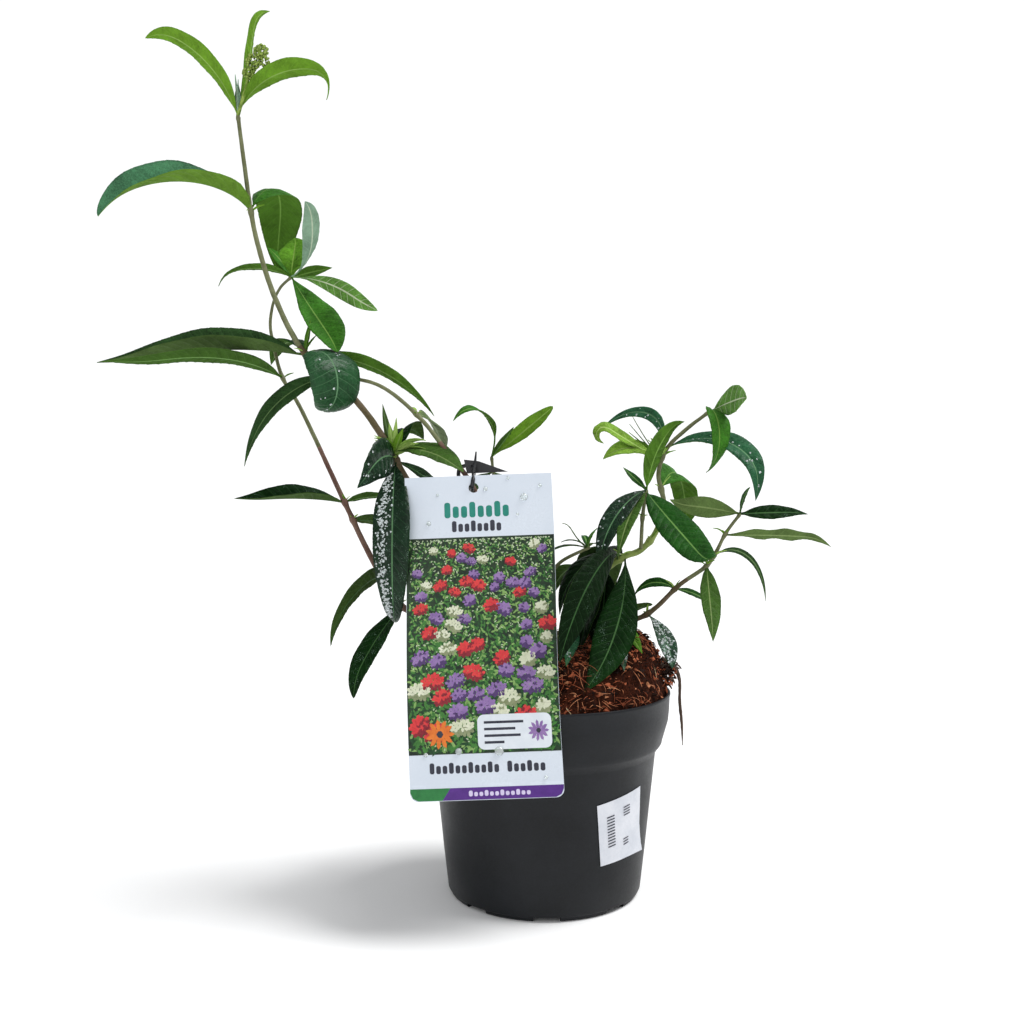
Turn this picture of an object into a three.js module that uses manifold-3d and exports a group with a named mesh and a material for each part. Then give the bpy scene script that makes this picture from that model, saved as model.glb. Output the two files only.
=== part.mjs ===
// Butterfly bush in a nursery pot, with a plant label tied to one stem.
// Millimetres, +Z up, +Y away from the front. The origin is the middle of the pot's underside.
import * as THREE from "three";
import { mergeVertices } from "three/addons/utils/BufferGeometryUtils.js";
import Module from "manifold-3d";

const wasm = await Module();
wasm.setup();

// ---------------------------------------------------------------- driving dimensions
const GAP = 0.35; // clear space between neighbouring pieces

const POT = {
  height: 137,
  rimRadius: 85.5,
  collarDepth: 34, // height of the straight part of the collar
  stepHeight: 6, // height of the slope under the collar
  bodyTopRadius: 75.5,
  bodyBottomRadius: 65.5,
  wall: 2,
  footHeight: 3.2,
  footInnerRadius: 50,
  hubRadius: 14, // round boss in the middle of the underside
  notchWidth: 17,
  notches: 8,
  drainRadius: 4.5,
  drainRing: 40,
  segments: 28,
};
const COMPOST = {
  hubHeight: 165,
  hubRadius: 18,
  crestRadius: 46,
  crestShift: 12, // how much further out the crest lies on the right, and further in on the left
  crestHeight: 166,
  heap: 7, // extra height of the crest on the right
};
const CROWN = { footRadius: 16, topRadius: 14.5, height: 6 }; // woody foot that all stems rise from
const LABEL = { width: 93, length: 200, thickness: 1, corner: 5, hole: 3.2, holeDrop: 8, holeOffset: -3 };
const LABEL_TOP = new THREE.Vector3(-44, -52, 283);
const LABEL_FOOT = new THREE.Vector3(-37, -98.5, 88.5);
const STICKER = {
  width: 39, height: 43, middleHeight: 57, azimuth: -47, tilt: 9, thickness: 0.6, lift: 0.4,
};
const LEAF = { thickness: 1.5, petiole: 1.3, stations: 5, smallLength: 73, smallStations: 3 };
const BUD = { radius: 7.5, rise: 34, offsetX: 11, offsetY: -3 };

// Each stem: radius at its foot and tip, then the places it bends through.
const STEMS = {
  main_stem: { foot: 2.9, tip: 1.3, path: [[-6, 0, 166], [-50, -14, 214], [-92, -24, 281], [-107, -24, 308],
    [-124, -22, 331], [-158, -18, 362], [-178, -14, 398], [-191, -12, 438], [-195, -10, 457],
    [-200, -8, 492], [-204, -6, 521]] },
  second_stem: { foot: 2.6, tip: 0.9, path: [[-6, 8, 166], [-15, 10, 176], [-62, 14, 181], [-99, 12, 192],
    [-117, 10, 222], [-138, 10, 266], [-168, 12, 330], [-180, 14, 350], [-186, 16, 372], [-189, 20, 386],
    [-187, 22, 402], [-181, 16, 411], [-172, 8, 417]] },
  third_stem: { foot: 2.1, tip: 1.1, path: [[-3, -9, 166], [-27, -26, 227], [-49, -34, 278], [-65, -32, 299],
    [-83, -26, 321], [-110, -18, 342], [-141, -10, 349]] },
  fourth_stem: { foot: 1.5, tip: 1, path: [[-1, 10, 166], [-18, 14, 220], [-34, 10, 279], [-36, 8, 295]] },
  right_stem: { foot: 2.6, tip: 1.2, path: [[5, 0, 166], [36, -4, 196], [39, -8, 216], [52, -8, 227],
    [65, -4, 232], [76, 2, 244], [82, 8, 263], [78, 6, 283], [83, 4, 300], [98, 2, 315], [111, 0, 325]] },
  front_shoot: { foot: 1.3, tip: 1.1, path: [[65, -8.5, 233], [65, -16, 256], [67, -20, 273]] },
  low_right_stem: { foot: 2.1, tip: 1, path: [[4, 9, 166], [14, 9, 175], [65, 8, 184], [76, 6, 191],
    [92, 4, 207], [111, 2, 221], [116, 2, 228], [124, 4, 243], [134, 6, 256]] },
  side_shoot: { foot: 1.5, tip: 1, path: [[5, -8, 166], [-3, -24, 194], [7, -28, 223], [29, -30, 236]] },
};

// Each leaf: its stem and the place along it (0 foot, 1 tip), then its heading round the stem, the angle it
// rises at, how far it droops to its tip, its length and width, and its roll. Some also have a sweep of the
// heading, a hook at the tip, a twist, a fold along the midrib, a stalk share, a belly that moves the widest
// part, a point under 1 that makes both ends blunter, or an early under 1 that bends the leaf near its base.
const leaf = (stem, place, heading, rise, droop, length, width, roll = 0, more = {}) => ({
  stem, place, heading, rise, droop, length, width, roll,
  sweep: 0, hook: 0, twist: 0, fold: 22, stalk: 0.05, belly: 0.84, point: 1, early: 1, ...more,
});

const FOLIAGE = {
  foliage_top_left: [leaf("main_stem", 1, -152, 72, 59, 91, 18, 22, { sweep: -57, hook: 22, twist: 21,
      belly: 0.9, point: 0.82 })],
  foliage_top_right: [leaf("main_stem", 1, 71, 68, -15, 93, 12, -65, { sweep: -8, hook: 61, twist: -14,
      belly: 0.95 }),
    leaf("main_stem", 1, 16, 73, 114, 90, 20, -16, { sweep: -31, hook: 67, twist: -9, stalk: 0.11,
      belly: 0.73, point: 0.8 })],
  foliage_upper_left: [leaf("main_stem", 0.846, -150, 60, 90, 115, 28, 16, { sweep: -60, hook: 8,
      twist: -96, fold: 42, stalk: 0.03, belly: 0.78, point: 0.62, early: 0.5 })],
  foliage_upper_back: [leaf("main_stem", 0.849, 60, 60, 160, 117, 32, 1, { sweep: 69, twist: 7, fold: -6,
      belly: 0.95, point: 0.72 })],
  foliage_shoot_up: [leaf("second_stem", 1, -36, 18, -54, 70, 14, 25, { sweep: -69, hook: 52, twist: 17,
      stalk: 0.12, belly: 1.15, point: 0.85 }),
    leaf("second_stem", 1, 76, 78, 47, 38, 25, -15, { sweep: 27, hook: -4, belly: 0.65 }),
    leaf("second_stem", 1, 150, 56, 20, 31, 11, -15),
    leaf("second_stem", 1, 178, 28, 62, 55, 12, 18, { sweep: 15, hook: 33, twist: -10, belly: 0.6 }),
    leaf("second_stem", 1, 25, 18, 4, 30, 9, -50)],
  foliage_shoot_right: [leaf("second_stem", 1, -22, -4, 40, 75, 12, 91, { sweep: -9, hook: -17,
      stalk: 0.12, belly: 1.18, point: 0.75 })],
  foliage_shoot_low: [leaf("second_stem", 1, -25, -57, -25, 76, 26, 14, { sweep: -38, hook: 8, fold: 30,
      stalk: 0.03, belly: 1.2, point: 0.7 })],
  foliage_middle_left: [leaf("main_stem", 0.6, 183, 8, 25, 144, 22, -17, { sweep: -16, hook: -17,
      twist: -8, fold: 54, belly: 0.72 })],
  foliage_middle_front: [leaf("main_stem", 0.6, -42, 25, 190, 75, 37, 12, { hook: 30, fold: 4,
      stalk: 0.03, belly: 0.92, point: 0.55 })],
  foliage_middle_right: [leaf("main_stem", 0.6, 11, 4, 58, 98, 15, -30, { twist: 5, belly: 0.77 })],
  foliage_middle_back: [leaf("main_stem", 0.605, 125, 40, 90, 60, 18)],
  foliage_second_left: [leaf("second_stem", 0.773, -115, 19, 41, 131, 17, 19, { sweep: -51, hook: -21,
      twist: 19, stalk: 0.03, belly: 0.79 })],
  foliage_low_left: [leaf("second_stem", 0.507, 214, 8, 14, 79, 15, -8, { hook: -11, twist: -30, fold: 50,
      stalk: 0.03, belly: 0.82 })],
  foliage_low_right: [leaf("second_stem", 0.507, 5, 20, 33, 39, 12, -30, { hook: -30, twist: 14,
      belly: 0.75 })],
  foliage_low_small: [leaf("second_stem", 0.47, 14, 1, 19, 33, 12, -40, { sweep: -6, hook: -17, twist: 10,
      stalk: 0.03, belly: 0.7 })],
  foliage_hanging: [leaf("second_stem", 0.344, -93, 18, 102, 82, 17, 70, { sweep: -65, twist: -5,
      stalk: 0.03, belly: 0.7 })],
  foliage_lowest: [leaf("second_stem", 0.278, -134, -38, 22, 74, 19, -2, { sweep: 3, hook: 26, twist: -13,
      stalk: 0.03, belly: 0.95, point: 0.75 })],
  foliage_arch: [leaf("third_stem", 1, -167, -10, 73, 90, 16, -54, { sweep: -21, hook: -6, twist: 8,
      belly: 0.78 })],
  foliage_bend: [leaf("third_stem", 0.734, 73, 0, 41, 76, 18, 47, { sweep: 10, hook: -6, twist: -18,
      belly: 0.81 })],
  foliage_label_front: [leaf("main_stem", 0.379, -88, -25, 109, 135, 25, 18, { hook: 31, stalk: 0.07,
      belly: 0.78, point: 0.9 })],
  foliage_label_left: [leaf("main_stem", 0.382, -103, 19, 86, 57, 25, -81, { sweep: -19, hook: -25,
      twist: -8, fold: 18, stalk: 0.03, belly: 0.7 })],
  foliage_label_right: [leaf("main_stem", 0.395, -22, 12, 54, 58, 25, 24, { sweep: -11, hook: -9,
      twist: -12, stalk: 0.03, belly: 1.01 }),
    leaf("main_stem", 0.379, 30, -22, 30, 58, 14, 40)],
  foliage_label_back: [leaf("main_stem", 0.385, 74, 89, 140, 48, 25, -12, { sweep: -24, twist: -10,
      stalk: 0.03, belly: 0.7 })],
  foliage_behind: [leaf("fourth_stem", 1, -68, 51, 45, 75, 10, -23, { sweep: -90, hook: 57, stalk: 0.2,
      belly: 1.25 }),
    leaf("fourth_stem", 1, -30, 33, -4, 58, 12, -40, { stalk: 0.12, belly: 1.05, point: 0.6 }),
    leaf("fourth_stem", 1, -43, 40, -8, 29, 6, -20)],
  foliage_tip: [leaf("right_stem", 1, -44, 22, 25, 48, 20, 77, { sweep: -47, hook: 4, twist: 4,
      stalk: 0.09, belly: 0.98 }),
    leaf("right_stem", 1, -89, 21, 200, 67, 18, -19, { sweep: 24, hook: -21, twist: -8, belly: 0.75 })],
  foliage_crown_right: [leaf("right_stem", 0.828, -9, 27, 101, 95, 19, 33, { sweep: -69, hook: 41,
      twist: -13 })],
  foliage_crown_back: [leaf("right_stem", 0.809, 84, 79, 125, 77, 9, -54, { sweep: 90, twist: -12,
      belly: 0.89 })],
  foliage_crown_young: [leaf("right_stem", 0.781, -172, 29, -4, 62, 11, -45, { hook: 185, stalk: 0.1,
      belly: 1.1 }),
    leaf("right_stem", 0.781, -170, 44, 86, 45, 18, -34, { belly: 0.9 })],
  foliage_crown_bend: [leaf("right_stem", 0.686, 60, 50, 155, 83, 28, 44, { sweep: 10, hook: -30,
      twist: -22, fold: 14, stalk: 0.04, belly: 1.2, point: 0.6 })],
  foliage_front_up: [leaf("front_shoot", 1, 37, 82, 56, 63, 16, -85, { sweep: 5, hook: 18, twist: 3,
      belly: 0.7 }),
    leaf("front_shoot", 1, 146, 38, -4, 23, 6, -30), leaf("front_shoot", 0.97, -118, -16, 48, 64, 13, 5)],
  foliage_front_right: [leaf("front_shoot", 0.966, -48, -43, -30, 98, 24, 22, { sweep: -38, hook: -30,
      fold: 16, stalk: 0.03, belly: 0.75, point: 0.7 })],
  foliage_front_left: [leaf("front_shoot", 1, -135, -12, 68, 70, 17, -15, { sweep: -7, hook: 6,
      belly: 0.88, point: 0.85 })],
  foliage_large: [leaf("right_stem", 0.397, -90, -50, -4, 109, 26, -25, { sweep: -50, hook: -6,
      twist: -10, fold: 16, stalk: 0.04, belly: 1.1 }),
    leaf("right_stem", 0.397, -150, 15, 100, 72, 20), leaf("right_stem", 0.397, 118, 25, 110, 78, 22)],
  foliage_large_left: [leaf("right_stem", 0.369, -93, 29, 121, 131, 22, -69, { sweep: -57, hook: -15,
      fold: 16, stalk: 0.15, belly: 1.2 })],
  foliage_right_inner: [leaf("low_right_stem", 1, 175, 13, 11, 50, 15, 71, { sweep: 14, hook: -23,
      twist: 8, fold: 16, stalk: 0.03, belly: 0.94 })],
  foliage_right_outer: [leaf("low_right_stem", 1, -2, 2, 1, 46, 12, 55, { hook: 10, twist: -11,
      stalk: 0.03 }),
    leaf("low_right_stem", 1, -70, 77, 42, 23, 6, 80)],
  foliage_right_wavy: [leaf("low_right_stem", 0.892, -16, 2, 9, 79, 10, -42, { sweep: 45, hook: 24,
      twist: -13, stalk: 0.03, belly: 0.8 })],
  foliage_right_arch: [leaf("low_right_stem", 0.796, 39, 26, 124, 72, 5, 76, { sweep: -15, hook: -8,
      twist: 9, belly: 0.86 })],
  foliage_right_hanging: [leaf("low_right_stem", 0.744, -83, -74, -37, 58, 16, -21, { sweep: -14,
      twist: -6, stalk: 0.03, belly: 0.71 })],
  foliage_low_arch: [leaf("low_right_stem", 0.585, 149, 34, 92, 35, 8, -50),
    leaf("low_right_stem", 0.585, 35, -8, 27, 40, 6, 55)],
  foliage_wet: [leaf("low_right_stem", 0.43, -61, -15, 67, 47, 14, -3, { twist: 13, fold: 16, stalk: 0.07,
      belly: 1.19, point: 0.85 })],
  foliage_tuft: [leaf("side_shoot", 0.98, 178, 35, -40, 24, 4, 0, { hook: 60 }),
    leaf("side_shoot", 0.98, 20, 82, 40, 15, 5), leaf("side_shoot", 0.98, -165, 48, 70, 20, 5),
    leaf("side_shoot", 0.98, -165, 20, 62, 34, 7)],
  foliage_center_back: [leaf("fourth_stem", 0.55, 75, 40, 110, 95, 24)],
  foliage_main_back: [leaf("main_stem", 0.2, 110, 45, 125, 92, 24)],
  foliage_right_back: [leaf("right_stem", 0.27, 80, 50, 130, 92, 24)],
};

const COLOURS = {
  pot: 0x2b2d30, compost: 0x5b3122, crown: 0x5d4a38, bark: 0x6b5b42, green: 0x2f6a2b, card: 0xe9ebf0,
  tie: 0x141416,
};

// ---------------------------------------------------------------- joining and cutting
const radians = THREE.MathUtils.degToRad;

function toSolid(geometry) {
  const bare = geometry.clone();
  bare.deleteAttribute("normal");
  bare.deleteAttribute("uv");
  const merged = mergeVertices(bare, 1e-4);
  const vertProperties = new Float32Array(merged.attributes.position.array);
  const triVerts = new Uint32Array(merged.index.array);
  return new wasm.Manifold(new wasm.Mesh({ numProp: 3, vertProperties, triVerts }));
}

function toGeometry(solid) {
  const mesh = solid.getMesh();
  const geometry = new THREE.BufferGeometry();
  geometry.setAttribute("position", new THREE.BufferAttribute(new Float32Array(mesh.vertProperties), 3));
  geometry.setIndex(new THREE.BufferAttribute(new Uint32Array(mesh.triVerts), 1));
  geometry.computeVertexNormals();
  return geometry;
}

// The largest body of a solid that a cut may have left in several.
function largestBody(solid) {
  return solid.decompose().reduce((best, body) => (body.volume() > best.volume() ? body : best));
}

const joined = (solids) => solids.reduce((all, solid) => all.add(solid));

// ---------------------------------------------------------------- lofted shapes
// A closed skin over rings of equally many points, with a fan over each end.
function loft(rings) {
  const sides = rings[0].length;
  const points = rings.flat();
  const faces = [];
  for (let ring = 0; ring + 1 < rings.length; ring += 1) {
    for (let side = 0; side < sides; side += 1) {
      const a = ring * sides + side;
      const b = ring * sides + ((side + 1) % sides);
      faces.push(a, b, b + sides, a, b + sides, a + sides);
    }
  }
  const last = (rings.length - 1) * sides;
  for (let side = 1; side + 1 < sides; side += 1) {
    faces.push(0, side + 1, side, last, last + side, last + side + 1);
  }
  const geometry = new THREE.BufferGeometry();
  geometry.setAttribute("position", new THREE.Float32BufferAttribute(points.flatMap((p) => p.toArray()), 3));
  geometry.setIndex(faces);
  return geometry;
}

// A ring of points round a place on a path, square to its direction.
function ringAround(centre, direction, radius, sides) {
  const across = new THREE.Vector3(0, 1, 0).cross(direction).normalize();
  const up = direction.clone().cross(across).normalize();
  return Array.from({ length: sides }, (_, side) => {
    const turn = (side / sides) * Math.PI * 2;
    return centre.clone().addScaledVector(across, radius * Math.cos(turn))
      .addScaledVector(up, radius * Math.sin(turn));
  });
}

// ---------------------------------------------------------------- stems
const stemCurves = Object.fromEntries(Object.entries(STEMS).map(([name, { path }]) => [
  name, new THREE.CatmullRomCurve3(path.map((place) => new THREE.Vector3(...place)), false, "centripetal"),
]));

function stemRadius(name, place) {
  return THREE.MathUtils.lerp(STEMS[name].foot, STEMS[name].tip, place);
}

function stemSolid(name, grow = 0) {
  const curve = stemCurves[name];
  const sides = 6;
  const steps = Math.max(4, Math.round(1.25 * (STEMS[name].path.length - 1)));
  const rings = [];
  for (let step = 0; step <= steps; step += 1) {
    const place = step / steps;
    const direction = curve.getTangentAt(place);
    const centre = curve.getPointAt(place);
    if (step === 0) centre.addScaledVector(direction, -grow);
    if (step === steps) centre.addScaledVector(direction, grow);
    rings.push(ringAround(centre, direction, stemRadius(name, place) + grow, sides));
  }
  return toSolid(loft(rings));
}

// ---------------------------------------------------------------- leaves
// Half-width of a leaf along its length, as a share of its greatest half-width.
function leafProfile(spec, along) {
  const blade = THREE.MathUtils.clamp((along - spec.stalk) / (1 - spec.stalk), 0, 1);
  return Math.sin(Math.PI * blade ** spec.belly) ** spec.point;
}

// The tangent of a leaf's midrib at a share of its length.
function leafDirection(spec, along) {
  const tail = THREE.MathUtils.smoothstep(along, 0.65, 1);
  const elevation = radians(spec.rise - spec.droop * along ** spec.early - spec.hook * tail);
  const heading = radians(spec.heading + spec.sweep * along);
  return new THREE.Vector3(Math.cos(heading) * Math.cos(elevation), Math.sin(heading) * Math.cos(elevation),
    Math.sin(elevation));
}

// The direction across a leaf at a share of its length: level, then turned by the roll and the twist.
function leafAcross(spec, along, direction) {
  const heading = radians(spec.heading + spec.sweep * along);
  const level = new THREE.Vector3(-Math.sin(heading), Math.cos(heading), 0);
  return level.applyAxisAngle(direction, radians(spec.roll + spec.twist * along));
}

// How far a leaf's blade lies over its midrib, in half-widths, at a share of the half-width.
const foldLift = (spec, side) => Math.tan(radians(spec.fold)) * Math.abs(side) - 0.22 * side ** 2;

// A leaf as a thin pad, lens-shaped in section and folded along its arching midrib.
function leafSolid(spec, grow = 0) {
  const fine = 30;
  const places = [stemCurves[spec.stem].getPointAt(spec.place)];
  for (let step = 0; step < fine; step += 1) {
    const direction = leafDirection(spec, (step + 0.5) / fine);
    places.push(places[step].clone().addScaledVector(direction, spec.length / fine));
  }
  const stations = spec.length < LEAF.smallLength ? LEAF.smallStations : LEAF.stations;
  const rings = [];
  for (let station = 0; station <= stations; station += 1) {
    const along = station / stations;
    const direction = leafDirection(spec, along);
    const across = leafAcross(spec, along, direction);
    const normal = direction.clone().cross(across);
    const reach = Math.max(LEAF.petiole, spec.width * leafProfile(spec, along)) / 2 + grow;
    const thick = (LEAF.thickness * (along > 0.99 ? 0.5 : 1)) / 2 + grow;
    const centre = places[Math.round(along * fine)].clone();
    if (station === stations) centre.addScaledVector(direction, grow);
    const corner = (side, face) => centre.clone().addScaledVector(across, side * reach)
      .addScaledVector(normal, face * thick + foldLift(spec, side) * (reach - grow));
    rings.push([corner(1, 0), corner(0.45, 1), corner(-0.45, 1), corner(-1, 0), corner(-0.45, -1),
      corner(0.45, -1)]);
  }
  return toSolid(loft(rings));
}

// The swelling of the stem that joins the leaves of one node.
function nodeSwelling(spec, grow) {
  const centre = stemCurves[spec.stem].getPointAt(spec.place);
  const ball = new THREE.IcosahedronGeometry(stemRadius(spec.stem, spec.place) + 2.4 + grow, 0);
  return toSolid(ball.translate(centre.x, centre.y, centre.z));
}

// The young flower bud cluster in the top of the main stem.
function budSolid(grow) {
  const tip = stemCurves.main_stem.getPointAt(1);
  const ball = new THREE.IcosahedronGeometry(BUD.radius + grow, 0).scale(0.9, 0.8, 1);
  const stalk = [tip, tip.clone().add(new THREE.Vector3(BUD.offsetX, BUD.offsetY, BUD.rise))];
  const direction = stalk[1].clone().sub(stalk[0]).normalize();
  const rod = loft(stalk.map((place) => ringAround(place, direction, 1.4 + grow, 6)));
  return toSolid(ball.translate(stalk[1].x, stalk[1].y, stalk[1].z)).add(toSolid(rod));
}

function foliageSolid(name, grow = 0) {
  const specs = FOLIAGE[name];
  const solids = specs.map((spec) => leafSolid(spec, grow));
  const nodes = new Map(specs.map((spec) => [spec.place, spec]));
  if (specs.length > 1) solids.push(...[...nodes.values()].map((spec) => nodeSwelling(spec, grow)));
  if (name === "foliage_top_right") solids.push(budSolid(grow));
  return joined(solids);
}

// ---------------------------------------------------------------- pot and compost
const collarFoot = POT.height - POT.collarDepth;
const bodyTop = collarFoot - POT.stepHeight;

// Outer radius of the pot's body at a height under its collar.
const bodyRadius = (height) => (
  THREE.MathUtils.mapLinear(height, 0, bodyTop, POT.bodyBottomRadius, POT.bodyTopRadius));

function lathe(profile) {
  const outline = profile.map(([radius, height]) => new THREE.Vector2(radius, height));
  return new THREE.LatheGeometry(outline, POT.segments).rotateX(Math.PI / 2);
}

function potSolid() {
  const { wall, footHeight } = POT;
  const profile = [
    [0, 0], [POT.hubRadius, 0], [POT.hubRadius, footHeight], [POT.footInnerRadius, footHeight],
    [POT.footInnerRadius, 0], [POT.bodyBottomRadius - 2, 0], [bodyRadius(2.5), 2.5],
    [POT.bodyTopRadius, bodyTop], [POT.rimRadius - 5.5, collarFoot], [POT.rimRadius - 1.2, collarFoot + 15],
    [POT.rimRadius, POT.height - 1], [POT.rimRadius - 0.8, POT.height], [POT.rimRadius - wall, POT.height],
    [POT.rimRadius - 5.5 - wall, collarFoot + 1], [POT.bodyTopRadius - wall, bodyTop],
    [bodyRadius(7) - wall, footHeight + wall], [0, footHeight + wall],
  ];
  const notch = new THREE.BoxGeometry(24, POT.notchWidth, 2 * footHeight)
    .translate(POT.bodyBottomRadius - 4, 0, 0);
  const drain = new THREE.CylinderGeometry(POT.drainRadius, POT.drainRadius, 20, 5).rotateX(Math.PI / 2)
    .translate(POT.drainRing, 0, 0);
  let solid = toSolid(lathe(profile));
  for (let turn = 0; turn < POT.notches; turn += 1) {
    const azimuth = (turn / POT.notches) * Math.PI * 2 - Math.PI / 2;
    solid = solid.subtract(toSolid(notch.clone().rotateZ(azimuth)));
    solid = solid.subtract(toSolid(drain.clone().rotateZ(azimuth)));
  }
  return solid;
}

// Height of the compost over the pot's floor plane, at a radius and an azimuth.
function compostHeight(radius, azimuth) {
  if (radius <= COMPOST.hubRadius) return COMPOST.hubHeight;
  const edge = POT.rimRadius - POT.wall - GAP;
  const right = Math.max(0, Math.cos(azimuth));
  const crest = COMPOST.crestRadius + COMPOST.crestShift * Math.cos(azimuth);
  const top = COMPOST.crestHeight + COMPOST.heap * right ** 1.5;
  const lumps = 1.8 * Math.sin(3 * azimuth + radius * 0.11) + 1.3 * Math.cos(5 * azimuth - radius * 0.17);
  if (radius <= crest) {
    const climb = THREE.MathUtils.smoothstep(radius, COMPOST.hubRadius, crest);
    return THREE.MathUtils.lerp(COMPOST.hubHeight, top, climb) + lumps * climb;
  }
  const fall = (radius - crest) / (edge - crest);
  return THREE.MathUtils.lerp(top, POT.height - 3, fall ** (1.3 + 1.9 * right)) + lumps * (1 - fall);
}

function compostSolid() {
  const edge = POT.rimRadius - POT.wall - GAP;
  const floor = POT.footHeight + POT.wall + GAP;
  const sides = 16;
  const ringAt = (radius, height) => Array.from({ length: sides }, (_, side) => {
    const azimuth = (side / sides) * Math.PI * 2;
    const level = height ?? compostHeight(radius, azimuth);
    return new THREE.Vector3(radius * Math.cos(azimuth), radius * Math.sin(azimuth), level);
  });
  const inset = POT.wall + GAP + 0.8; // keeps the flat-sided block inside the round wall
  const rings = [
    ringAt(bodyRadius(7) - inset, floor), ringAt(POT.bodyTopRadius - inset, bodyTop),
    ringAt(POT.rimRadius - 5.5 - inset, collarFoot + 2), ringAt(edge - 0.8, POT.height - 3),
    ...[76, 68, 58, 46, 34, 26, COMPOST.hubRadius].map((radius) => ringAt(radius)),
  ];
  return toSolid(loft(rings));
}

function crownSolid() {
  const foot = COMPOST.hubHeight + GAP;
  const top = foot + CROWN.height;
  const profile = [[0, foot], [CROWN.footRadius, foot], [CROWN.topRadius + 0.6, foot + 2.4],
    [CROWN.topRadius, top], [0, top]];
  const outline = profile.map(([radius, height]) => new THREE.Vector2(radius, height));
  return toSolid(new THREE.LatheGeometry(outline, 12).rotateX(Math.PI / 2));
}

// A dry root that hangs out over the rim on the right.
function rootSolid() {
  const path = [[82, 1, 158], [88, 0, 153], [93, -1, 145], [93.5, -1, 128], [94.5, -1, 112], [95, -1, 98]];
  const points = path.map((place) => new THREE.Vector3(...place));
  const curve = new THREE.CatmullRomCurve3(points, false, "centripetal");
  const steps = 7;
  const rings = Array.from({ length: steps + 1 }, (_, step) => {
    const place = step / steps;
    const radius = 1.1 + 0.5 * Math.sin(7 * place) - 0.7 * place ** 4;
    return ringAround(curve.getPointAt(place), curve.getTangentAt(place), radius, 6);
  });
  return toSolid(loft(rings));
}

// ---------------------------------------------------------------- label, tie and sticker
function labelFrame() {
  const up = LABEL_TOP.clone().sub(LABEL_FOOT).normalize();
  const slant = new THREE.Vector3(1, 0, 0.07);
  const right = slant.clone().addScaledVector(up, -up.dot(slant)).normalize();
  const front = right.clone().cross(up);
  const middle = LABEL_TOP.clone().add(LABEL_FOOT).multiplyScalar(0.5);
  return new THREE.Matrix4().makeBasis(right, up, front).setPosition(middle);
}

function labelSolid(grow = 0) {
  const halfWidth = LABEL.width / 2 + grow;
  const halfLength = LABEL.length / 2 + grow;
  const { corner } = LABEL;
  const card = new THREE.Shape();
  card.moveTo(-halfWidth, halfLength);
  card.lineTo(-halfWidth, -halfLength + corner);
  card.absarc(-halfWidth + corner, -halfLength + corner, corner, Math.PI, 1.5 * Math.PI);
  card.absarc(halfWidth - corner, -halfLength + corner, corner, 1.5 * Math.PI, 2 * Math.PI);
  card.lineTo(halfWidth, halfLength);
  if (!grow) {
    const hole = new THREE.Path();
    hole.absarc(LABEL.holeOffset, LABEL.length / 2 - LABEL.holeDrop, LABEL.hole, 0, 2 * Math.PI);
    card.holes.push(hole);
  }
  const depth = LABEL.thickness + 2 * grow;
  const geometry = new THREE.ExtrudeGeometry(card, { depth, bevelEnabled: false, curveSegments: 4 });
  return toSolid(geometry.translate(0, 0, -depth / 2).applyMatrix4(labelFrame()));
}

// A closed loop through the label's hole and round the third stem, with the tie's flat head beside it.
function tieSolid() {
  const loop = [[-47.2, -54, 276], [-46.4, -50, 283.5], [-46.8, -42, 288], [-51, -32, 289.3],
    [-56.3, -26.5, 287], [-57, -25, 282], [-53, -29, 277], [-49.5, -38, 273.5], [-47.6, -47, 273]];
  const points = loop.map((place) => new THREE.Vector3(...place));
  const curve = new THREE.CatmullRomCurve3(points, true, "centripetal");
  const steps = 14;
  const arc = (first, last) => {
    const rings = [];
    for (let step = first; step <= last; step += 1) {
      const place = (step % steps) / steps;
      const direction = curve.getTangentAt(place);
      const across = new THREE.Vector3(1, 0.2, 0).cross(direction).normalize();
      const up = direction.clone().cross(across).normalize();
      const centre = curve.getPointAt(place);
      rings.push(Array.from({ length: 6 }, (_, side) => {
        const turn = (side / 6) * Math.PI * 2;
        return centre.clone().addScaledVector(across, 1.2 * Math.cos(turn))
          .addScaledVector(up, 1.4 * Math.sin(turn));
      }));
    }
    return toSolid(loft(rings));
  };
  const head = new THREE.Shape([[-53, 293], [-51, 284], [-24.5, 285.2], [-43.5, 292]]
    .map(([x, z]) => new THREE.Vector2(x, z)));
  const plate = new THREE.ExtrudeGeometry(head, { depth: 1.2, bevelEnabled: false }).rotateX(Math.PI / 2)
    .translate(0, -39, 0);
  return joined([arc(0, steps / 2), arc(steps / 2, steps), toSolid(plate)]);
}

// A thin patch bent round the pot's body.
function stickerSolid() {
  const columns = 6;
  const lean = radians(STICKER.tilt);
  const rings = [];
  for (let column = 0; column <= columns; column += 1) {
    const along = (column / columns - 0.5) * STICKER.width;
    const corner = (lift, side) => {
      const rise = side * STICKER.height * 0.5;
      const across = along * Math.cos(lean) - rise * Math.sin(lean);
      const height = STICKER.middleHeight + along * Math.sin(lean) + rise * Math.cos(lean);
      const azimuth = radians(STICKER.azimuth) + across / bodyRadius(height);
      const radius = bodyRadius(height) + lift;
      return new THREE.Vector3(radius * Math.cos(azimuth), radius * Math.sin(azimuth), height);
    };
    const outer = STICKER.lift + STICKER.thickness;
    rings.push([corner(STICKER.lift, -1), corner(outer, -1), corner(outer, 1), corner(STICKER.lift, 1)]);
  }
  return toSolid(loft(rings.reverse()));
}

// ---------------------------------------------------------------- assembly
const plant = new THREE.Group();

function place(name, solid, color, roughness) {
  const material = new THREE.MeshStandardMaterial({ color, roughness, metalness: 0 });
  const mesh = new THREE.Mesh(toGeometry(solid), material);
  mesh.name = name;
  plant.add(mesh);
}

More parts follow.
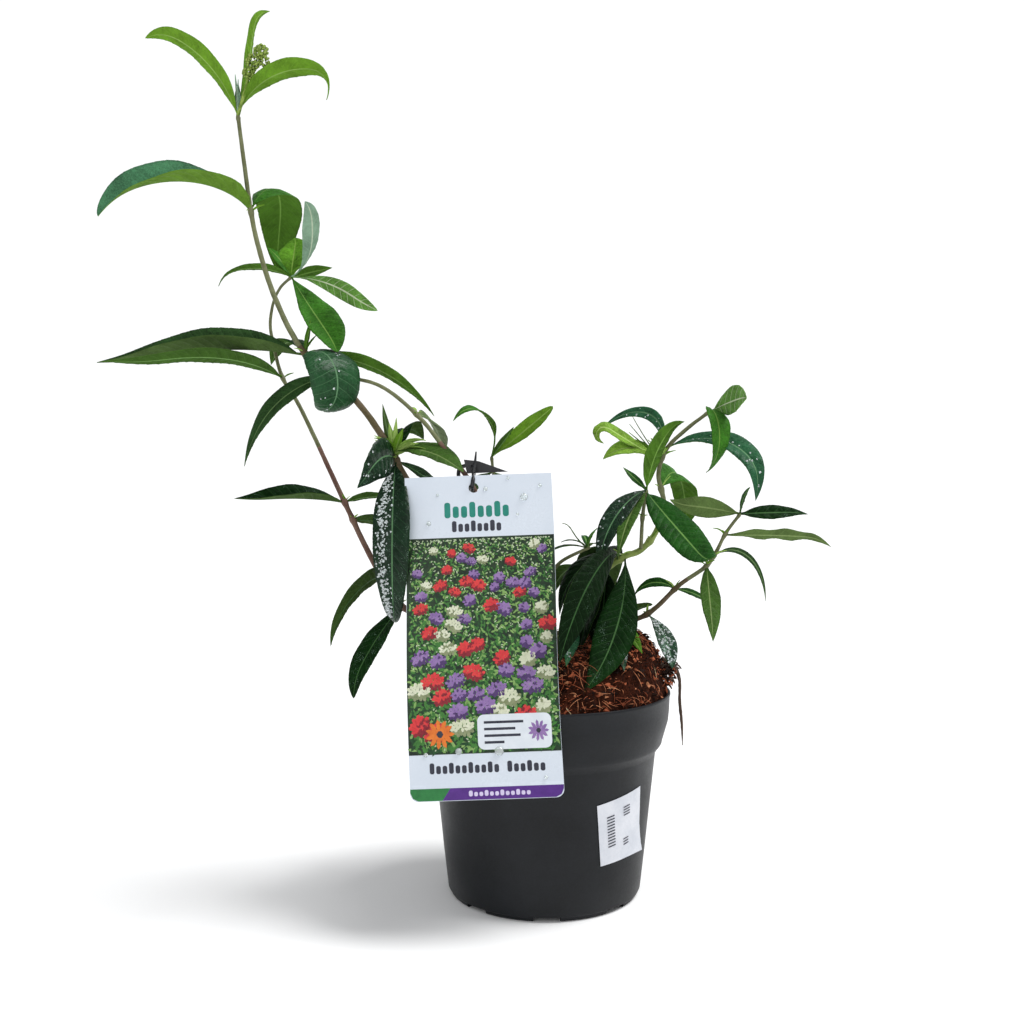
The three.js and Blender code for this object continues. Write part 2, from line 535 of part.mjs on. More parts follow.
place("pot", potSolid(), COLOURS.pot, 0.55);
const compost = compostSolid();
place("compost", compost, COLOURS.compost, 1);
place("crown", crownSolid(), COLOURS.crown, 0.9);
place("label", labelSolid(), COLOURS.card, 0.35);
place("sticker", stickerSolid(), COLOURS.card, 0.6);

// Space that is taken: every later piece is cut back to stay clear of it.
const crownTop = COMPOST.hubHeight + GAP + CROWN.height;
const potTop = POT.height + GAP;
const potRoom = [[0, 0], [POT.rimRadius + GAP, 0], [POT.rimRadius + GAP, potTop], [0, potTop]];
const crownReach = CROWN.footRadius + 2;
const crownRoom = [[0, POT.height], [crownReach, POT.height], [crownReach, crownTop + GAP],
  [0, crownTop + GAP]];
const potSpace = toSolid(lathe(potRoom));
let taken = joined([compost.translate(0, 0, GAP), potSpace, toSolid(lathe(crownRoom)), labelSolid(GAP)]);

const cutClear = (solid) => largestBody(solid.subtract(taken));

const stemNames = Object.keys(STEMS);
for (const name of stemNames) {
  place(name, cutClear(stemSolid(name)), COLOURS.bark, 0.8);
  taken = taken.add(stemSolid(name, GAP));
}

place("dry_root", cutClear(rootSolid()), COLOURS.bark, 0.9);
const tie = cutClear(joined([tieSolid()]));
place("label_tie", tie, COLOURS.tie, 0.4);

for (const name of Object.keys(FOLIAGE)) {
  place(name, cutClear(foliageSolid(name).subtract(tie)), COLOURS.green, 0.6);
  taken = taken.add(foliageSolid(name, GAP));
}

export default plant;
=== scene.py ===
"""A potted butterfly bush with its plant label, dressed for rendering.

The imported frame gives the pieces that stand, rest and collide. This script replaces each of them with a
detailed mesh in the same place. The plant's own tables are in millimetres in the frame's axes (X to the
right, Y away from the front, Z up), and become metres when a mesh is made.
"""

from __future__ import annotations

import logging
import math
import random
from dataclasses import dataclass, field
from enum import Enum
from functools import cached_property
from typing import Callable, Iterable, Sequence

import bmesh
import bpy
import numpy as np
from mathutils import Matrix, Vector, noise

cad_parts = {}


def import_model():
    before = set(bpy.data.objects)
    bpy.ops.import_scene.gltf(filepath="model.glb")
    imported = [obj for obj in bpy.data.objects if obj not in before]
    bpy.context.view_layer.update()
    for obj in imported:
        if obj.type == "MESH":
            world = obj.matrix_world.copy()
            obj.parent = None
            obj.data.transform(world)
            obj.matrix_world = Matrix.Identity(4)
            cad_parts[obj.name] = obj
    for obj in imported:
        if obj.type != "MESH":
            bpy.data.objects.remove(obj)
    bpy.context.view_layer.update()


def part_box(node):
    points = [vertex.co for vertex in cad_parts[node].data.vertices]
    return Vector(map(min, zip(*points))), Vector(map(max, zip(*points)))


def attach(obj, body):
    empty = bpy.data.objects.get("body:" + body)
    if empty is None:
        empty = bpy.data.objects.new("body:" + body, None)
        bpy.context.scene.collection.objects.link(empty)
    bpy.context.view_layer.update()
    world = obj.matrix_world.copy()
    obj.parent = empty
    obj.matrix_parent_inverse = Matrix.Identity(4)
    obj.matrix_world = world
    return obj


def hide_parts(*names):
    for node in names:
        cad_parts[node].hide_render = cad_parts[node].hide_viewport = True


MM = 0.001
SEED = 7861
LOG = logging.getLogger("butterfly_bush")

Colour = tuple[float, float, float, float]
Bytes = tuple[int, int, int]
Point = tuple[float, float, float]


def srgb(red: int, green: int, blue: int) -> Colour:
    """Turns a colour given in display bytes into linear light.

    Args:
        red: Red, 0 to 255.
        green: Green, 0 to 255.
        blue: Blue, 0 to 255.

    Returns:
        The linear colour with full alpha.
    """
    def linear(byte: int) -> float:
        """Linear light of one channel."""
        share = byte / 255.0
        return share / 12.92 if share <= 0.04045 else ((share + 0.055) / 1.055) ** 2.4

    return linear(red), linear(green), linear(blue), 1.0


def ramp(value: np.ndarray | float, low: float, high: float) -> np.ndarray | float:
    """Smooth step from 0 at low to 1 at high."""
    share = np.clip((value - low) / (high - low), 0.0, 1.0)
    return share * share * (3.0 - 2.0 * share)


def unit(vector: np.ndarray) -> np.ndarray:
    """The vector at length one."""
    return vector / np.linalg.norm(vector)


def polar(radius: float, angle: float, height: float) -> Point:
    """A point by its distance from the upright axis, its turn round it in radians and its height."""
    return radius * math.cos(angle), radius * math.sin(angle), height


def place_object(name: str, data: bpy.types.ID) -> bpy.types.Object:
    """Makes an object that holds a mesh, light or camera, and links it into the scene."""
    made = bpy.data.objects.new(name, data)
    bpy.context.scene.collection.objects.link(made)
    return made


def ring_faces(rows: int, sides: int) -> list[tuple[int, ...]]:
    """Faces between rings of points that follow each other.

    Args:
        rows: How many bands of faces, one less than the rings.
        sides: Points in each ring.

    Returns:
        Corner numbers of the faces, band by band.
    """
    return [(row * sides + side, row * sides + (side + 1) % sides,
             (row + 1) * sides + (side + 1) % sides, (row + 1) * sides + side)
            for row in range(rows) for side in range(sides)]


# ------------------------------------------------------------------ shader building
@dataclass
class ShaderSheet:
    """Adds and joins nodes in the node tree of a material or group."""

    tree: bpy.types.NodeTree

    def add(self, kind: str, **values: object) -> bpy.types.Node:
        """Adds a node and sets its properties and input values.

        Args:
            kind: Blender's node type name.
            **values: Properties of the node, or inputs named with underscores for spaces.

        Returns:
            The new node.
        """
        return self.fill(self.tree.nodes.new(kind), **values)

    def fill(self, node: bpy.types.Node, **values: object) -> bpy.types.Node:
        """Sets a node's properties and input values, named as in add, and returns the node."""
        for name, value in values.items():
            if hasattr(node, name):
                setattr(node, name, value)
            else:
                node.inputs[name.replace("_", " ")].default_value = value
        return node

    def join(self, source: bpy.types.Node, output: int | str, target: bpy.types.Node,
             socket: int | str) -> None:
        """Links an output of one node to an input of another."""
        self.tree.links.new(source.outputs[output], target.inputs[socket])


def new_group(name: str, inputs: dict[str, float | Colour],
              outputs: dict[str, str]) -> tuple[ShaderSheet, bpy.types.Node, bpy.types.Node]:
    """Starts a shader node group with named sockets.

    Args:
        name: The group's name.
        inputs: Input name to default value, which is a number or a colour.
        outputs: Output name to socket kind.

    Returns:
        A sheet over the group's tree, and the tree's input and output nodes.
    """
    tree = bpy.data.node_groups.new(name, "ShaderNodeTree")
    for label, default in inputs.items():
        kind = "NodeSocketColor" if isinstance(default, tuple) else "NodeSocketFloat"
        socket = tree.interface.new_socket(name=label, in_out="INPUT", socket_type=kind)
        socket.default_value = default
    for label, kind in outputs.items():
        tree.interface.new_socket(name=label, in_out="OUTPUT", socket_type=kind)
    sheet = ShaderSheet(tree)
    return sheet, sheet.add("NodeGroupInput"), sheet.add("NodeGroupOutput")


def mottle_group() -> bpy.types.NodeTree:
    """Builds soft patches of one colour over another, with finer grain inside them."""
    sheet, given, out = new_group(
        "mottle",
        {"Ground": (0.5, 0.5, 0.5, 1.0), "Patch": (0.3, 0.3, 0.3, 1.0), "Patch Scale": 40.0,
         "Grain Scale": 400.0, "Grain": 0.3},
        {"Color": "NodeSocketColor", "Value": "NodeSocketFloat"},
    )
    place = sheet.add("ShaderNodeTexCoord")
    patches = sheet.add("ShaderNodeTexNoise", Detail=4.0, Roughness=0.6)
    grain = sheet.add("ShaderNodeTexNoise", Detail=3.0, Roughness=0.7)
    for node, scale in ((patches, "Patch Scale"), (grain, "Grain Scale")):
        sheet.join(place, "Object", node, "Vector")
        sheet.join(given, scale, node, "Scale")
    blend = sheet.add("ShaderNodeMix", data_type="FLOAT")
    sheet.join(given, "Grain", blend, "Factor")
    sheet.join(patches, "Fac", blend, "A")
    sheet.join(grain, "Fac", blend, "B")
    spread = sheet.add("ShaderNodeMapRange", From_Min=0.36, From_Max=0.64)
    sheet.join(blend, "Result", spread, "Value")
    tone = sheet.add("ShaderNodeMix", data_type="RGBA")
    sheet.join(spread, "Result", tone, "Factor")
    sheet.join(given, "Ground", tone, 6)
    sheet.join(given, "Patch", tone, 7)
    sheet.join(tone, 2, out, "Color")
    sheet.join(spread, "Result", out, "Value")
    return sheet.tree


def relief_group() -> bpy.types.NodeTree:
    """Builds the height of a fine uneven surface: pebbled cells over soft noise."""
    sheet, given, out = new_group("relief", {"Cell Scale": 300.0, "Noise Scale": 120.0, "Cells": 0.5},
                                  {"Height": "NodeSocketFloat"})
    place = sheet.add("ShaderNodeTexCoord")
    cells = sheet.add("ShaderNodeTexVoronoi", feature="SMOOTH_F1")
    soft = sheet.add("ShaderNodeTexNoise", Detail=5.0, Roughness=0.65)
    sheet.join(place, "Object", cells, "Vector")
    sheet.join(place, "Object", soft, "Vector")
    sheet.join(given, "Cell Scale", cells, "Scale")
    sheet.join(given, "Noise Scale", soft, "Scale")
    blend = sheet.add("ShaderNodeMix", data_type="FLOAT")
    sheet.join(given, "Cells", blend, "Factor")
    sheet.join(soft, "Fac", blend, "A")
    sheet.join(cells, "Distance", blend, "B")
    sheet.join(blend, "Result", out, "Height")
    return sheet.tree


def bead_glints_group() -> bpy.types.NodeTree:
    """Builds the mask of a painted highlight, the glints of water beads: round dots of many sizes, in patches.
    """
    sheet, given, out = new_group("bead_glints", {"Scale": 800.0, "Amount": 0.5}, {"Mask": "NodeSocketFloat"})
    place = sheet.add("ShaderNodeTexCoord")
    cells = sheet.add("ShaderNodeTexVoronoi", feature="F1")
    patches = sheet.add("ShaderNodeTexNoise", Scale=130.0, Detail=3.0, Roughness=0.65)
    sheet.join(place, "Object", cells, "Vector")
    sheet.join(place, "Object", patches, "Vector")
    sheet.join(given, "Scale", cells, "Scale")
    reach = sheet.add("ShaderNodeMapRange", From_Min=0.38, From_Max=0.66, To_Max=0.6)
    sheet.join(patches, "Fac", reach, "Value")
    size = sheet.add("ShaderNodeMath", operation="MULTIPLY")
    sheet.join(reach, "Result", size, 0)
    sheet.join(given, "Amount", size, 1)
    inside = sheet.add("ShaderNodeMath", operation="SUBTRACT")
    sheet.join(size, "Value", inside, 0)
    sheet.join(cells, "Distance", inside, 1)
    edge = sheet.add("ShaderNodeMapRange", From_Max=0.1)
    sheet.join(inside, "Value", edge, "Value")
    sheet.join(edge, "Result", out, "Mask")
    return sheet.tree


EFFECTS: dict[str, Callable[[], bpy.types.NodeTree]] = {"mottle": mottle_group, "relief": relief_group,
                                                        "bead_glints": bead_glints_group}
# Painted highlight: the pale colour painted into a leaf where its water beads glint.
BEAD_GLINT_PALE = srgb(136, 164, 146)
COAT_ROUGH = 0.12
IOR_WATER, IOR_SOLID = 1.33, 1.5


def effect(name: str) -> bpy.types.NodeTree:
    """A shared shader group by its name, built on first use."""
    return bpy.data.node_groups.get(name) or EFFECTS[name]()


@dataclass(frozen=True)
class Finish:
    """One surface finish: two colours in patches (in display bytes), gloss and a fine relief."""

    name: str
    ground: Bytes
    patch: Bytes
    rough: tuple[float, float] = (0.5, 0.7)
    patch_scale: float = 60.0
    grain_scale: float = 600.0
    grain: float = 0.3
    relief: float = 0.1
    relief_step: float = 0.0004
    cell_scale: float = 700.0
    noise_scale: float = 300.0
    cells: float = 0.5
    specular: float = 0.5
    coat: float = 0.0
    clear: float = 0.0
    # Painted highlight: how much pale glint of water beads is painted into the colour, and how fine.
    bead_glints: float = 0.0
    bead_glint_scale: float = 1500.0

    def material(self) -> bpy.types.Material:
        """Builds the finish's material on first use.

        Returns:
            The material.
        """
        if self.name in bpy.data.materials:
            return bpy.data.materials[self.name]
        made = bpy.data.materials.new(self.name)
        made.use_nodes = True
        made.diffuse_color = srgb(*self.ground)
        sheet = ShaderSheet(made.node_tree)
        shader = sheet.fill(made.node_tree.nodes["Principled BSDF"], Specular_IOR_Level=self.specular,
                            Coat_Weight=self.coat, Coat_Roughness=COAT_ROUGH, Transmission_Weight=self.clear,
                            IOR=IOR_WATER if self.clear else IOR_SOLID)
        tone = sheet.add("ShaderNodeGroup", node_tree=effect("mottle"), Ground=srgb(*self.ground),
                         Patch=srgb(*self.patch), Patch_Scale=self.patch_scale, Grain_Scale=self.grain_scale,
                         Grain=self.grain)
        colour = (tone, "Color")
        # Painted highlight: pale glints of water beads mixed into the base colour.
        if self.bead_glints:
            beads = sheet.add("ShaderNodeGroup", node_tree=effect("bead_glints"), Scale=self.bead_glint_scale,
                              Amount=self.bead_glints)
            glint_mix = sheet.add("ShaderNodeMix", data_type="RGBA")
            glint_mix.inputs[7].default_value = BEAD_GLINT_PALE
            sheet.join(beads, "Mask", glint_mix, 0)
            sheet.join(*colour, glint_mix, 6)
            colour = (glint_mix, 2)
        sheet.join(*colour, shader, "Base Color")
        gloss = sheet.add("ShaderNodeMapRange", To_Min=self.rough[0], To_Max=self.rough[1])
        sheet.join(tone, "Value", gloss, "Value")
        sheet.join(gloss, "Result", shader, "Roughness")
        if self.relief:
            height = sheet.add("ShaderNodeGroup", node_tree=effect("relief"), Cell_Scale=self.cell_scale,
                               Noise_Scale=self.noise_scale, Cells=self.cells)
            bump = sheet.add("ShaderNodeBump", Strength=self.relief, Distance=self.relief_step)
            sheet.join(height, "Height", bump, "Height")
            sheet.join(bump, "Normal", shader, "Normal")
        return made


@dataclass(frozen=True)
class LeafDress:
    """The finishes of one kind of leaf: its upper face, felted under face, midrib and side veins."""

    upper: Finish
    under: Finish
    rib: Finish
    vein: Finish
    under_vein: Finish


def leaf_dress(name: str, upper: Sequence[int], under: Sequence[int], rib: Sequence[int], wet: float = 0.0,
               veins: float = 0.4, bead_glints: float = 0.0) -> LeafDress:
    """Makes the finishes of a leaf from their display colours.

    Args:
        name: The kind's name.
        upper: Colour of the upper face in display bytes.
        under: Colour of the under face in display bytes.
        rib: Colour of the midrib in display bytes.
        wet: How wet the upper face is, 0 to 1.
        veins: How far the side veins go from the leaf's colour to the midrib's, 0 to 1; the paler veins are
            partly their own colour and partly painted highlight for glints along them.
        bead_glints: How much of the upper face has painted highlight for glints of water beads, 0 to 1.

    Returns:
        The finishes, each with a darker patch colour of its own.
    """
    def shade(colour: Sequence[float], share: float) -> Bytes:
        """The colour, made lighter or darker."""
        return tuple(min(255, round(byte * share)) for byte in colour)

    def toward(colour: Sequence[int], share: float) -> list[float]:
        """A colour between the given one and the midrib's."""
        return [byte + (other - byte) * share for byte, other in zip(colour, rib)]

    def ribbed(part: str, colour: Sequence[float]) -> Finish:
        """A plain finish for ribs or veins."""
        return Finish(f"leaf_{part}_{name}", shade(colour, 1.0), shade(colour, 0.82), rough=(0.5, 0.65),
                      relief=0.0, specular=0.1)

    return LeafDress(
        Finish(f"leaf_upper_{name}", shade(upper, 1.12), shade(upper, 0.62),
               rough=(0.42 - 0.12 * wet, 0.55 - 0.15 * wet), patch_scale=70.0, grain_scale=1000.0, grain=0.5,
               relief=0.9, relief_step=0.0015, cell_scale=420.0, noise_scale=260.0, coat=0.1 * wet,
               specular=0.04 + 0.08 * wet, bead_glints=bead_glints),
        Finish(f"leaf_under_{name}", shade(under, 1.04), shade(under, 0.8), rough=(0.7, 0.85),
               patch_scale=75.0, grain_scale=1200.0, relief=0.5, relief_step=0.0008, cell_scale=700.0,
               noise_scale=500.0, specular=0.06),
        ribbed("rib", rib),
        # Side veins drawn paler: partly their own colour, partly painted highlight for the glints along them.
        ribbed("vein", toward(upper, veins)),
        ribbed("undervein", toward(under, veins * 0.5)),
    )


class Tint(Enum):
    """The kinds of leaf on the plant, from the oldest green to the youngest."""

    # Painted shade: a near-black green for leaves lying in the shadow between and behind the large leaves.
    SHADE = leaf_dress("shade", (11, 30, 10), (56, 82, 38), (54, 88, 48), bead_glints=0.35)
    DEEP = leaf_dress("deep", (15, 45, 13), (66, 92, 42), (70, 108, 60), veins=0.5, bead_glints=0.5)
    MOSS = leaf_dress("moss", (46, 76, 38), (72, 96, 48), (96, 124, 76), veins=0.2)
    WET = leaf_dress("wet", (16, 44, 24), (56, 84, 48), (92, 132, 92), wet=1.0, bead_glints=0.5)
    TEAL = leaf_dress("teal", (44, 94, 62), (90, 126, 46), (100, 144, 102), wet=0.4, veins=0.25, bead_glints=0.45)
    BLUISH = leaf_dress("bluish", (74, 128, 90), (98, 136, 46), (112, 156, 112), wet=0.3, veins=0.2, bead_glints=0.15)
    GLOSSY = leaf_dress("glossy", (36, 76, 44), (66, 100, 56), (96, 136, 98), wet=0.8, veins=0.6, bead_glints=0.3)
    BEADED = leaf_dress("beaded", (36, 68, 46), (60, 92, 54), (100, 136, 106), wet=1.0, bead_glints=1.0)
    MID = leaf_dress("mid", (34, 82, 26), (66, 100, 38), (110, 152, 78), wet=0.2, veins=0.3, bead_glints=0.35)
    LEAF = leaf_dress("leaf", (48, 94, 34), (74, 110, 42), (112, 150, 80), veins=0.3, bead_glints=0.2)
    # FRESH and BRIGHT: partly the young leaves' own lighter green, partly painted light for the glow of light
    # through the thin upper leaves.
    FRESH = leaf_dress("fresh", (58, 112, 34), (76, 116, 36), (112, 152, 66), veins=0.25)
    BRIGHT = leaf_dress("bright", (92, 142, 42), (106, 150, 42), (138, 174, 80), veins=0.15)
    STRIPED = leaf_dress("striped", (100, 146, 66), (136, 168, 106), (206, 220, 182), veins=0.8)
    YOUNG = leaf_dress("young", (130, 172, 62), (150, 184, 92), (176, 204, 116))
    PALE = leaf_dress("pale", (110, 148, 88), (140, 172, 146), (196, 212, 184), bead_glints=0.3)
    OLIVE = leaf_dress("olive", (64, 96, 38), (94, 118, 64), (130, 152, 92), veins=0.35)
    SAGE = leaf_dress("sage", (98, 120, 72), (126, 142, 104), (150, 164, 126))


BARK_BROWN = Finish("bark_brown", (104, 88, 70), (78, 72, 44), rough=(0.6, 0.8), patch_scale=90.0,
                    relief=0.6, relief_step=0.0006, noise_scale=500.0, specular=0.2)
BARK_GREY = Finish("bark_grey", (122, 98, 84), (92, 66, 58), rough=(0.6, 0.85), patch_scale=60.0,
                   relief=0.6, relief_step=0.0006, noise_scale=500.0, specular=0.2)
BARK_GREEN = Finish("bark_green", (142, 158, 84), (108, 126, 62), rough=(0.45, 0.65), patch_scale=90.0,
                    relief=0.4, relief_step=0.0004, noise_scale=500.0, specular=0.2)
BARK_YOUNG = Finish("bark_young", (112, 116, 78), (84, 88, 52), rough=(0.55, 0.75), patch_scale=90.0,
                    relief=0.4, relief_step=0.0004, noise_scale=500.0)
BARK_DARK = Finish("bark_dark", (86, 66, 52), (60, 46, 38), rough=(0.7, 0.9), patch_scale=120.0,
                   relief=0.7, relief_step=0.0008, noise_scale=400.0)
BUD_GREEN = Finish("bud_green", (150, 172, 84), (86, 112, 40), rough=(0.5, 0.7), patch_scale=300.0,
                   relief=0.4, specular=0.15)
POT_PLASTIC = Finish("pot_plastic", (21, 24, 28), (14, 16, 19), rough=(0.38, 0.52), patch_scale=26.0,
                     grain_scale=700.0, grain=0.4, relief=0.12, relief_step=0.0002, cell_scale=1400.0,
                     noise_scale=900.0, cells=0.7, specular=0.24)
COIR = Finish("coir_ground", (74, 36, 22), (16, 9, 7), rough=(0.85, 1.0), patch_scale=110.0,
              grain_scale=900.0, grain=0.5, relief=1.0, relief_step=0.003, cell_scale=700.0, noise_scale=500.0,
              specular=0.05)
FIBRE_RED = Finish("coir_fibre_red", (190, 104, 68), (120, 60, 36), rough=(0.7, 0.9), relief=0.0,
                   specular=0.25)
FIBRE_TAN = Finish("coir_fibre_tan", (216, 150, 108), (168, 102, 68), rough=(0.7, 0.9), relief=0.0,
                   specular=0.25)
FIBRE_DARK = Finish("coir_fibre_dark", (42, 24, 17), (26, 15, 12), rough=(0.7, 0.9), relief=0.0,
                    specular=0.1)
FIBRES = (FIBRE_RED, FIBRE_TAN, FIBRE_DARK)
CRUMB_MIX, FIBRE_MIX = (5, 1, 6), (6, 4, 3)  # how often each of the fibre colours comes
STRAW = Finish("straw", (206, 184, 146), (168, 142, 102), rough=(0.5, 0.7), relief=0.0)
# Painted highlight: the drops are only partly clear, so their near-white colour stands in for the glints of
# water.
WATER_WITH_PAINTED_GLINT = Finish("water", (244, 250, 250), (236, 246, 246), rough=(0.02, 0.05), relief=0.0, clear=0.55)
CARD = Finish("label_card", (202, 210, 220), (196, 205, 216), rough=(0.25, 0.35), patch_scale=20.0,
              relief=0.02, coat=0.1)
STICKER_PAPER = Finish("sticker_paper", (214, 216, 222), (196, 200, 208), rough=(0.4, 0.55),
                       patch_scale=60.0, relief=0.1)
TIE_PLASTIC = Finish("tie_plastic", (22, 22, 26), (14, 14, 17), rough=(0.25, 0.4), relief=0.05)


def print_ink(name: str, ink: Bytes, shade: Bytes) -> Finish:
    """Printed ink under the label's gloss."""
    return Finish(name, ink, shade, rough=(0.3, 0.4), patch_scale=220.0, grain_scale=1500.0, relief=0.0,
                  specular=0.25)


# ------------------------------------------------------------------ mesh drafting
@dataclass
class MeshDraft:
    """Collects points and faces of a piece, each face with its finish."""

    points: list[Sequence[float]] = field(default_factory=list)
    faces: list[tuple[int, ...]] = field(default_factory=list)
    marks: list[int] = field(default_factory=list)
    finishes: list[Finish] = field(default_factory=list)

    def mark(self, finish: Finish) -> int:
        """Number of a finish in this piece, added on first use."""
        if finish not in self.finishes:
            self.finishes.append(finish)
        return self.finishes.index(finish)

    def add(self, points: Iterable[Sequence[float]], faces: Iterable[tuple[int, ...]],
            finish: Finish | Sequence[Finish]) -> None:
        """Adds a patch of mesh.

        Args:
            points: Places in millimetres.
            faces: Corner numbers within this patch.
            finish: The finish of all faces, or one for each.
        """
        start = len(self.points)
        self.points.extend(points)
        for number, face in enumerate(faces):
            self.faces.append(tuple(corner + start for corner in face))
            chosen = finish if isinstance(finish, Finish) else finish[number]
            self.marks.append(self.mark(chosen))

    def build(self, name: str, smooth: bool = True, crease: float | None = None) -> bpy.types.Object:
        """Makes the piece.

        Args:
            name: The piece's name.
            smooth: Whether faces are shaded smooth.
            crease: Angle in degrees over which an edge stays sharp.

        Returns:
            The new object, in metres.
        """
        mesh = bpy.data.meshes.new(name)
        mesh.from_pydata((np.asarray(self.points, float) * MM).tolist(), [], self.faces)
        for finish in self.finishes:
            mesh.materials.append(finish.material())
        mesh.polygons.foreach_set("material_index", self.marks)
        mesh.polygons.foreach_set("use_smooth", [smooth] * len(self.faces))
        mesh.validate()
        mesh.update()
        if crease is not None:
            sharpen(mesh, crease)
        return place_object(name, mesh)


def sharpen(mesh: bpy.types.Mesh, degrees: float) -> None:
    """Marks edges that turn by more than an angle as sharp.

    Args:
        mesh: The mesh to mark.
        degrees: The angle.
    """
    form = bmesh.new()
    form.from_mesh(mesh)
    limit = math.radians(degrees)
    for edge in form.edges:
        edge.smooth = not (edge.is_manifold and edge.calc_face_angle(0.0) > limit)
    form.to_mesh(mesh)
    form.free()


def settle(piece: bpy.types.Object, slot: str, *nodes: str) -> bpy.types.Object:
    """Makes a piece ride on the plant and hides what it replaces.

    Args:
        piece: The finished piece.
        slot: The record's material slot; not used.
        *nodes: The CAD nodes that the piece stands for.

    Returns:
        The same piece.
    """
    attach(piece, "root")
    if nodes:
        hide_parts(*nodes)
    LOG.info("%s: %d faces", piece.name, len(piece.data.polygons))
    return piece


def tube(draft: MeshDraft, centres: np.ndarray, radii: Sequence[float], finish: Finish | Sequence[Finish],
         sides: int = 6, shape: Callable[[float, float], float] | None = None) -> None:
    """Sweeps a closed round rod along a path.

    Args:
        draft: The piece to add to.
        centres: Places along the path.
        radii: Radius at each place.
        finish: The rod's finish, or one for each step.
        sides: Corners round the rod.
        shape: Share of the radius at a turn (radians) and a place along (millimetres).
    """
    centres = np.asarray(centres, float)
    steps = np.gradient(centres, axis=0)
    steps /= np.linalg.norm(steps, axis=1)[:, None]
    across = np.cross(steps[0], (0.31, 0.93, 0.2))
    lengths = np.concatenate([[0.0], np.cumsum(np.linalg.norm(np.diff(centres, axis=0), axis=1))])
    turns = np.arange(sides) / sides * math.tau
    points: list[np.ndarray] = []
    for centre, step, radius, along in zip(centres, steps, radii, lengths):
        across = unit(across - step * float(across @ step))
        up = np.cross(step, across)
        shares = np.array([shape(turn, along) for turn in turns]) if shape else np.ones(sides)
        round_it = np.cos(turns)[:, None] * across + np.sin(turns)[:, None] * up
        points.extend(centre + radius * shares[:, None] * round_it)
    faces = ring_faces(len(centres) - 1, sides)
    last = (len(centres) - 1) * sides
    faces.append(tuple(reversed(range(sides))))
    faces.append(tuple(range(last, last + sides)))
    if not isinstance(finish, Finish):
        finish = [finish[row] for row in range(len(centres) - 1) for _ in range(sides)]
        finish += [finish[0], finish[-1]]
    draft.add(points, faces, finish)


def smooth_path(places: Sequence[Point], steps: int = 14, closed: bool = False) -> np.ndarray:
    """A smooth curve through places, with centripetal knots.

    Args:
        places: The places to pass through.
        steps: Points between two places.
        closed: Whether the curve returns to its start.

    Returns:
        The points along the curve.
    """
    knots = np.asarray(places, float)
    if closed:
        knots = np.vstack([knots[-1], knots, knots[0], knots[1]])
    else:
        knots = np.vstack([2 * knots[0] - knots[1], knots, 2 * knots[-1] - knots[-2]])
    curve = []
    for a, b, c, d in zip(knots, knots[1:], knots[2:], knots[3:]):
        t1 = math.sqrt(np.linalg.norm(b - a))
        t2 = t1 + math.sqrt(np.linalg.norm(c - b))
        t3 = t2 + math.sqrt(np.linalg.norm(d - c))
        for step in range(steps):
            t = t1 + (t2 - t1) * step / steps
            near = (t1 - t) / t1 * a + t / t1 * b
            middle = (t2 - t) / (t2 - t1) * b + (t - t1) / (t2 - t1) * c
            far = (t3 - t) / (t3 - t2) * c + (t - t2) / (t3 - t2) * d
            first = (t2 - t) / t2 * near + t / t2 * middle
            second = (t3 - t) / (t3 - t1) * middle + (t - t1) / (t3 - t1) * far
            curve.append((t2 - t) / (t2 - t1) * first + (t - t1) / (t2 - t1) * second)
    curve.append(knots[-2])
    return np.array(curve)


# ------------------------------------------------------------------ stems
NODE_SWELL = 0.42  # how much thicker a stem is at a node
NODE_SPREAD = 2.4  # how far the swelling reaches, millimetres
TIP_SHARE = 0.7


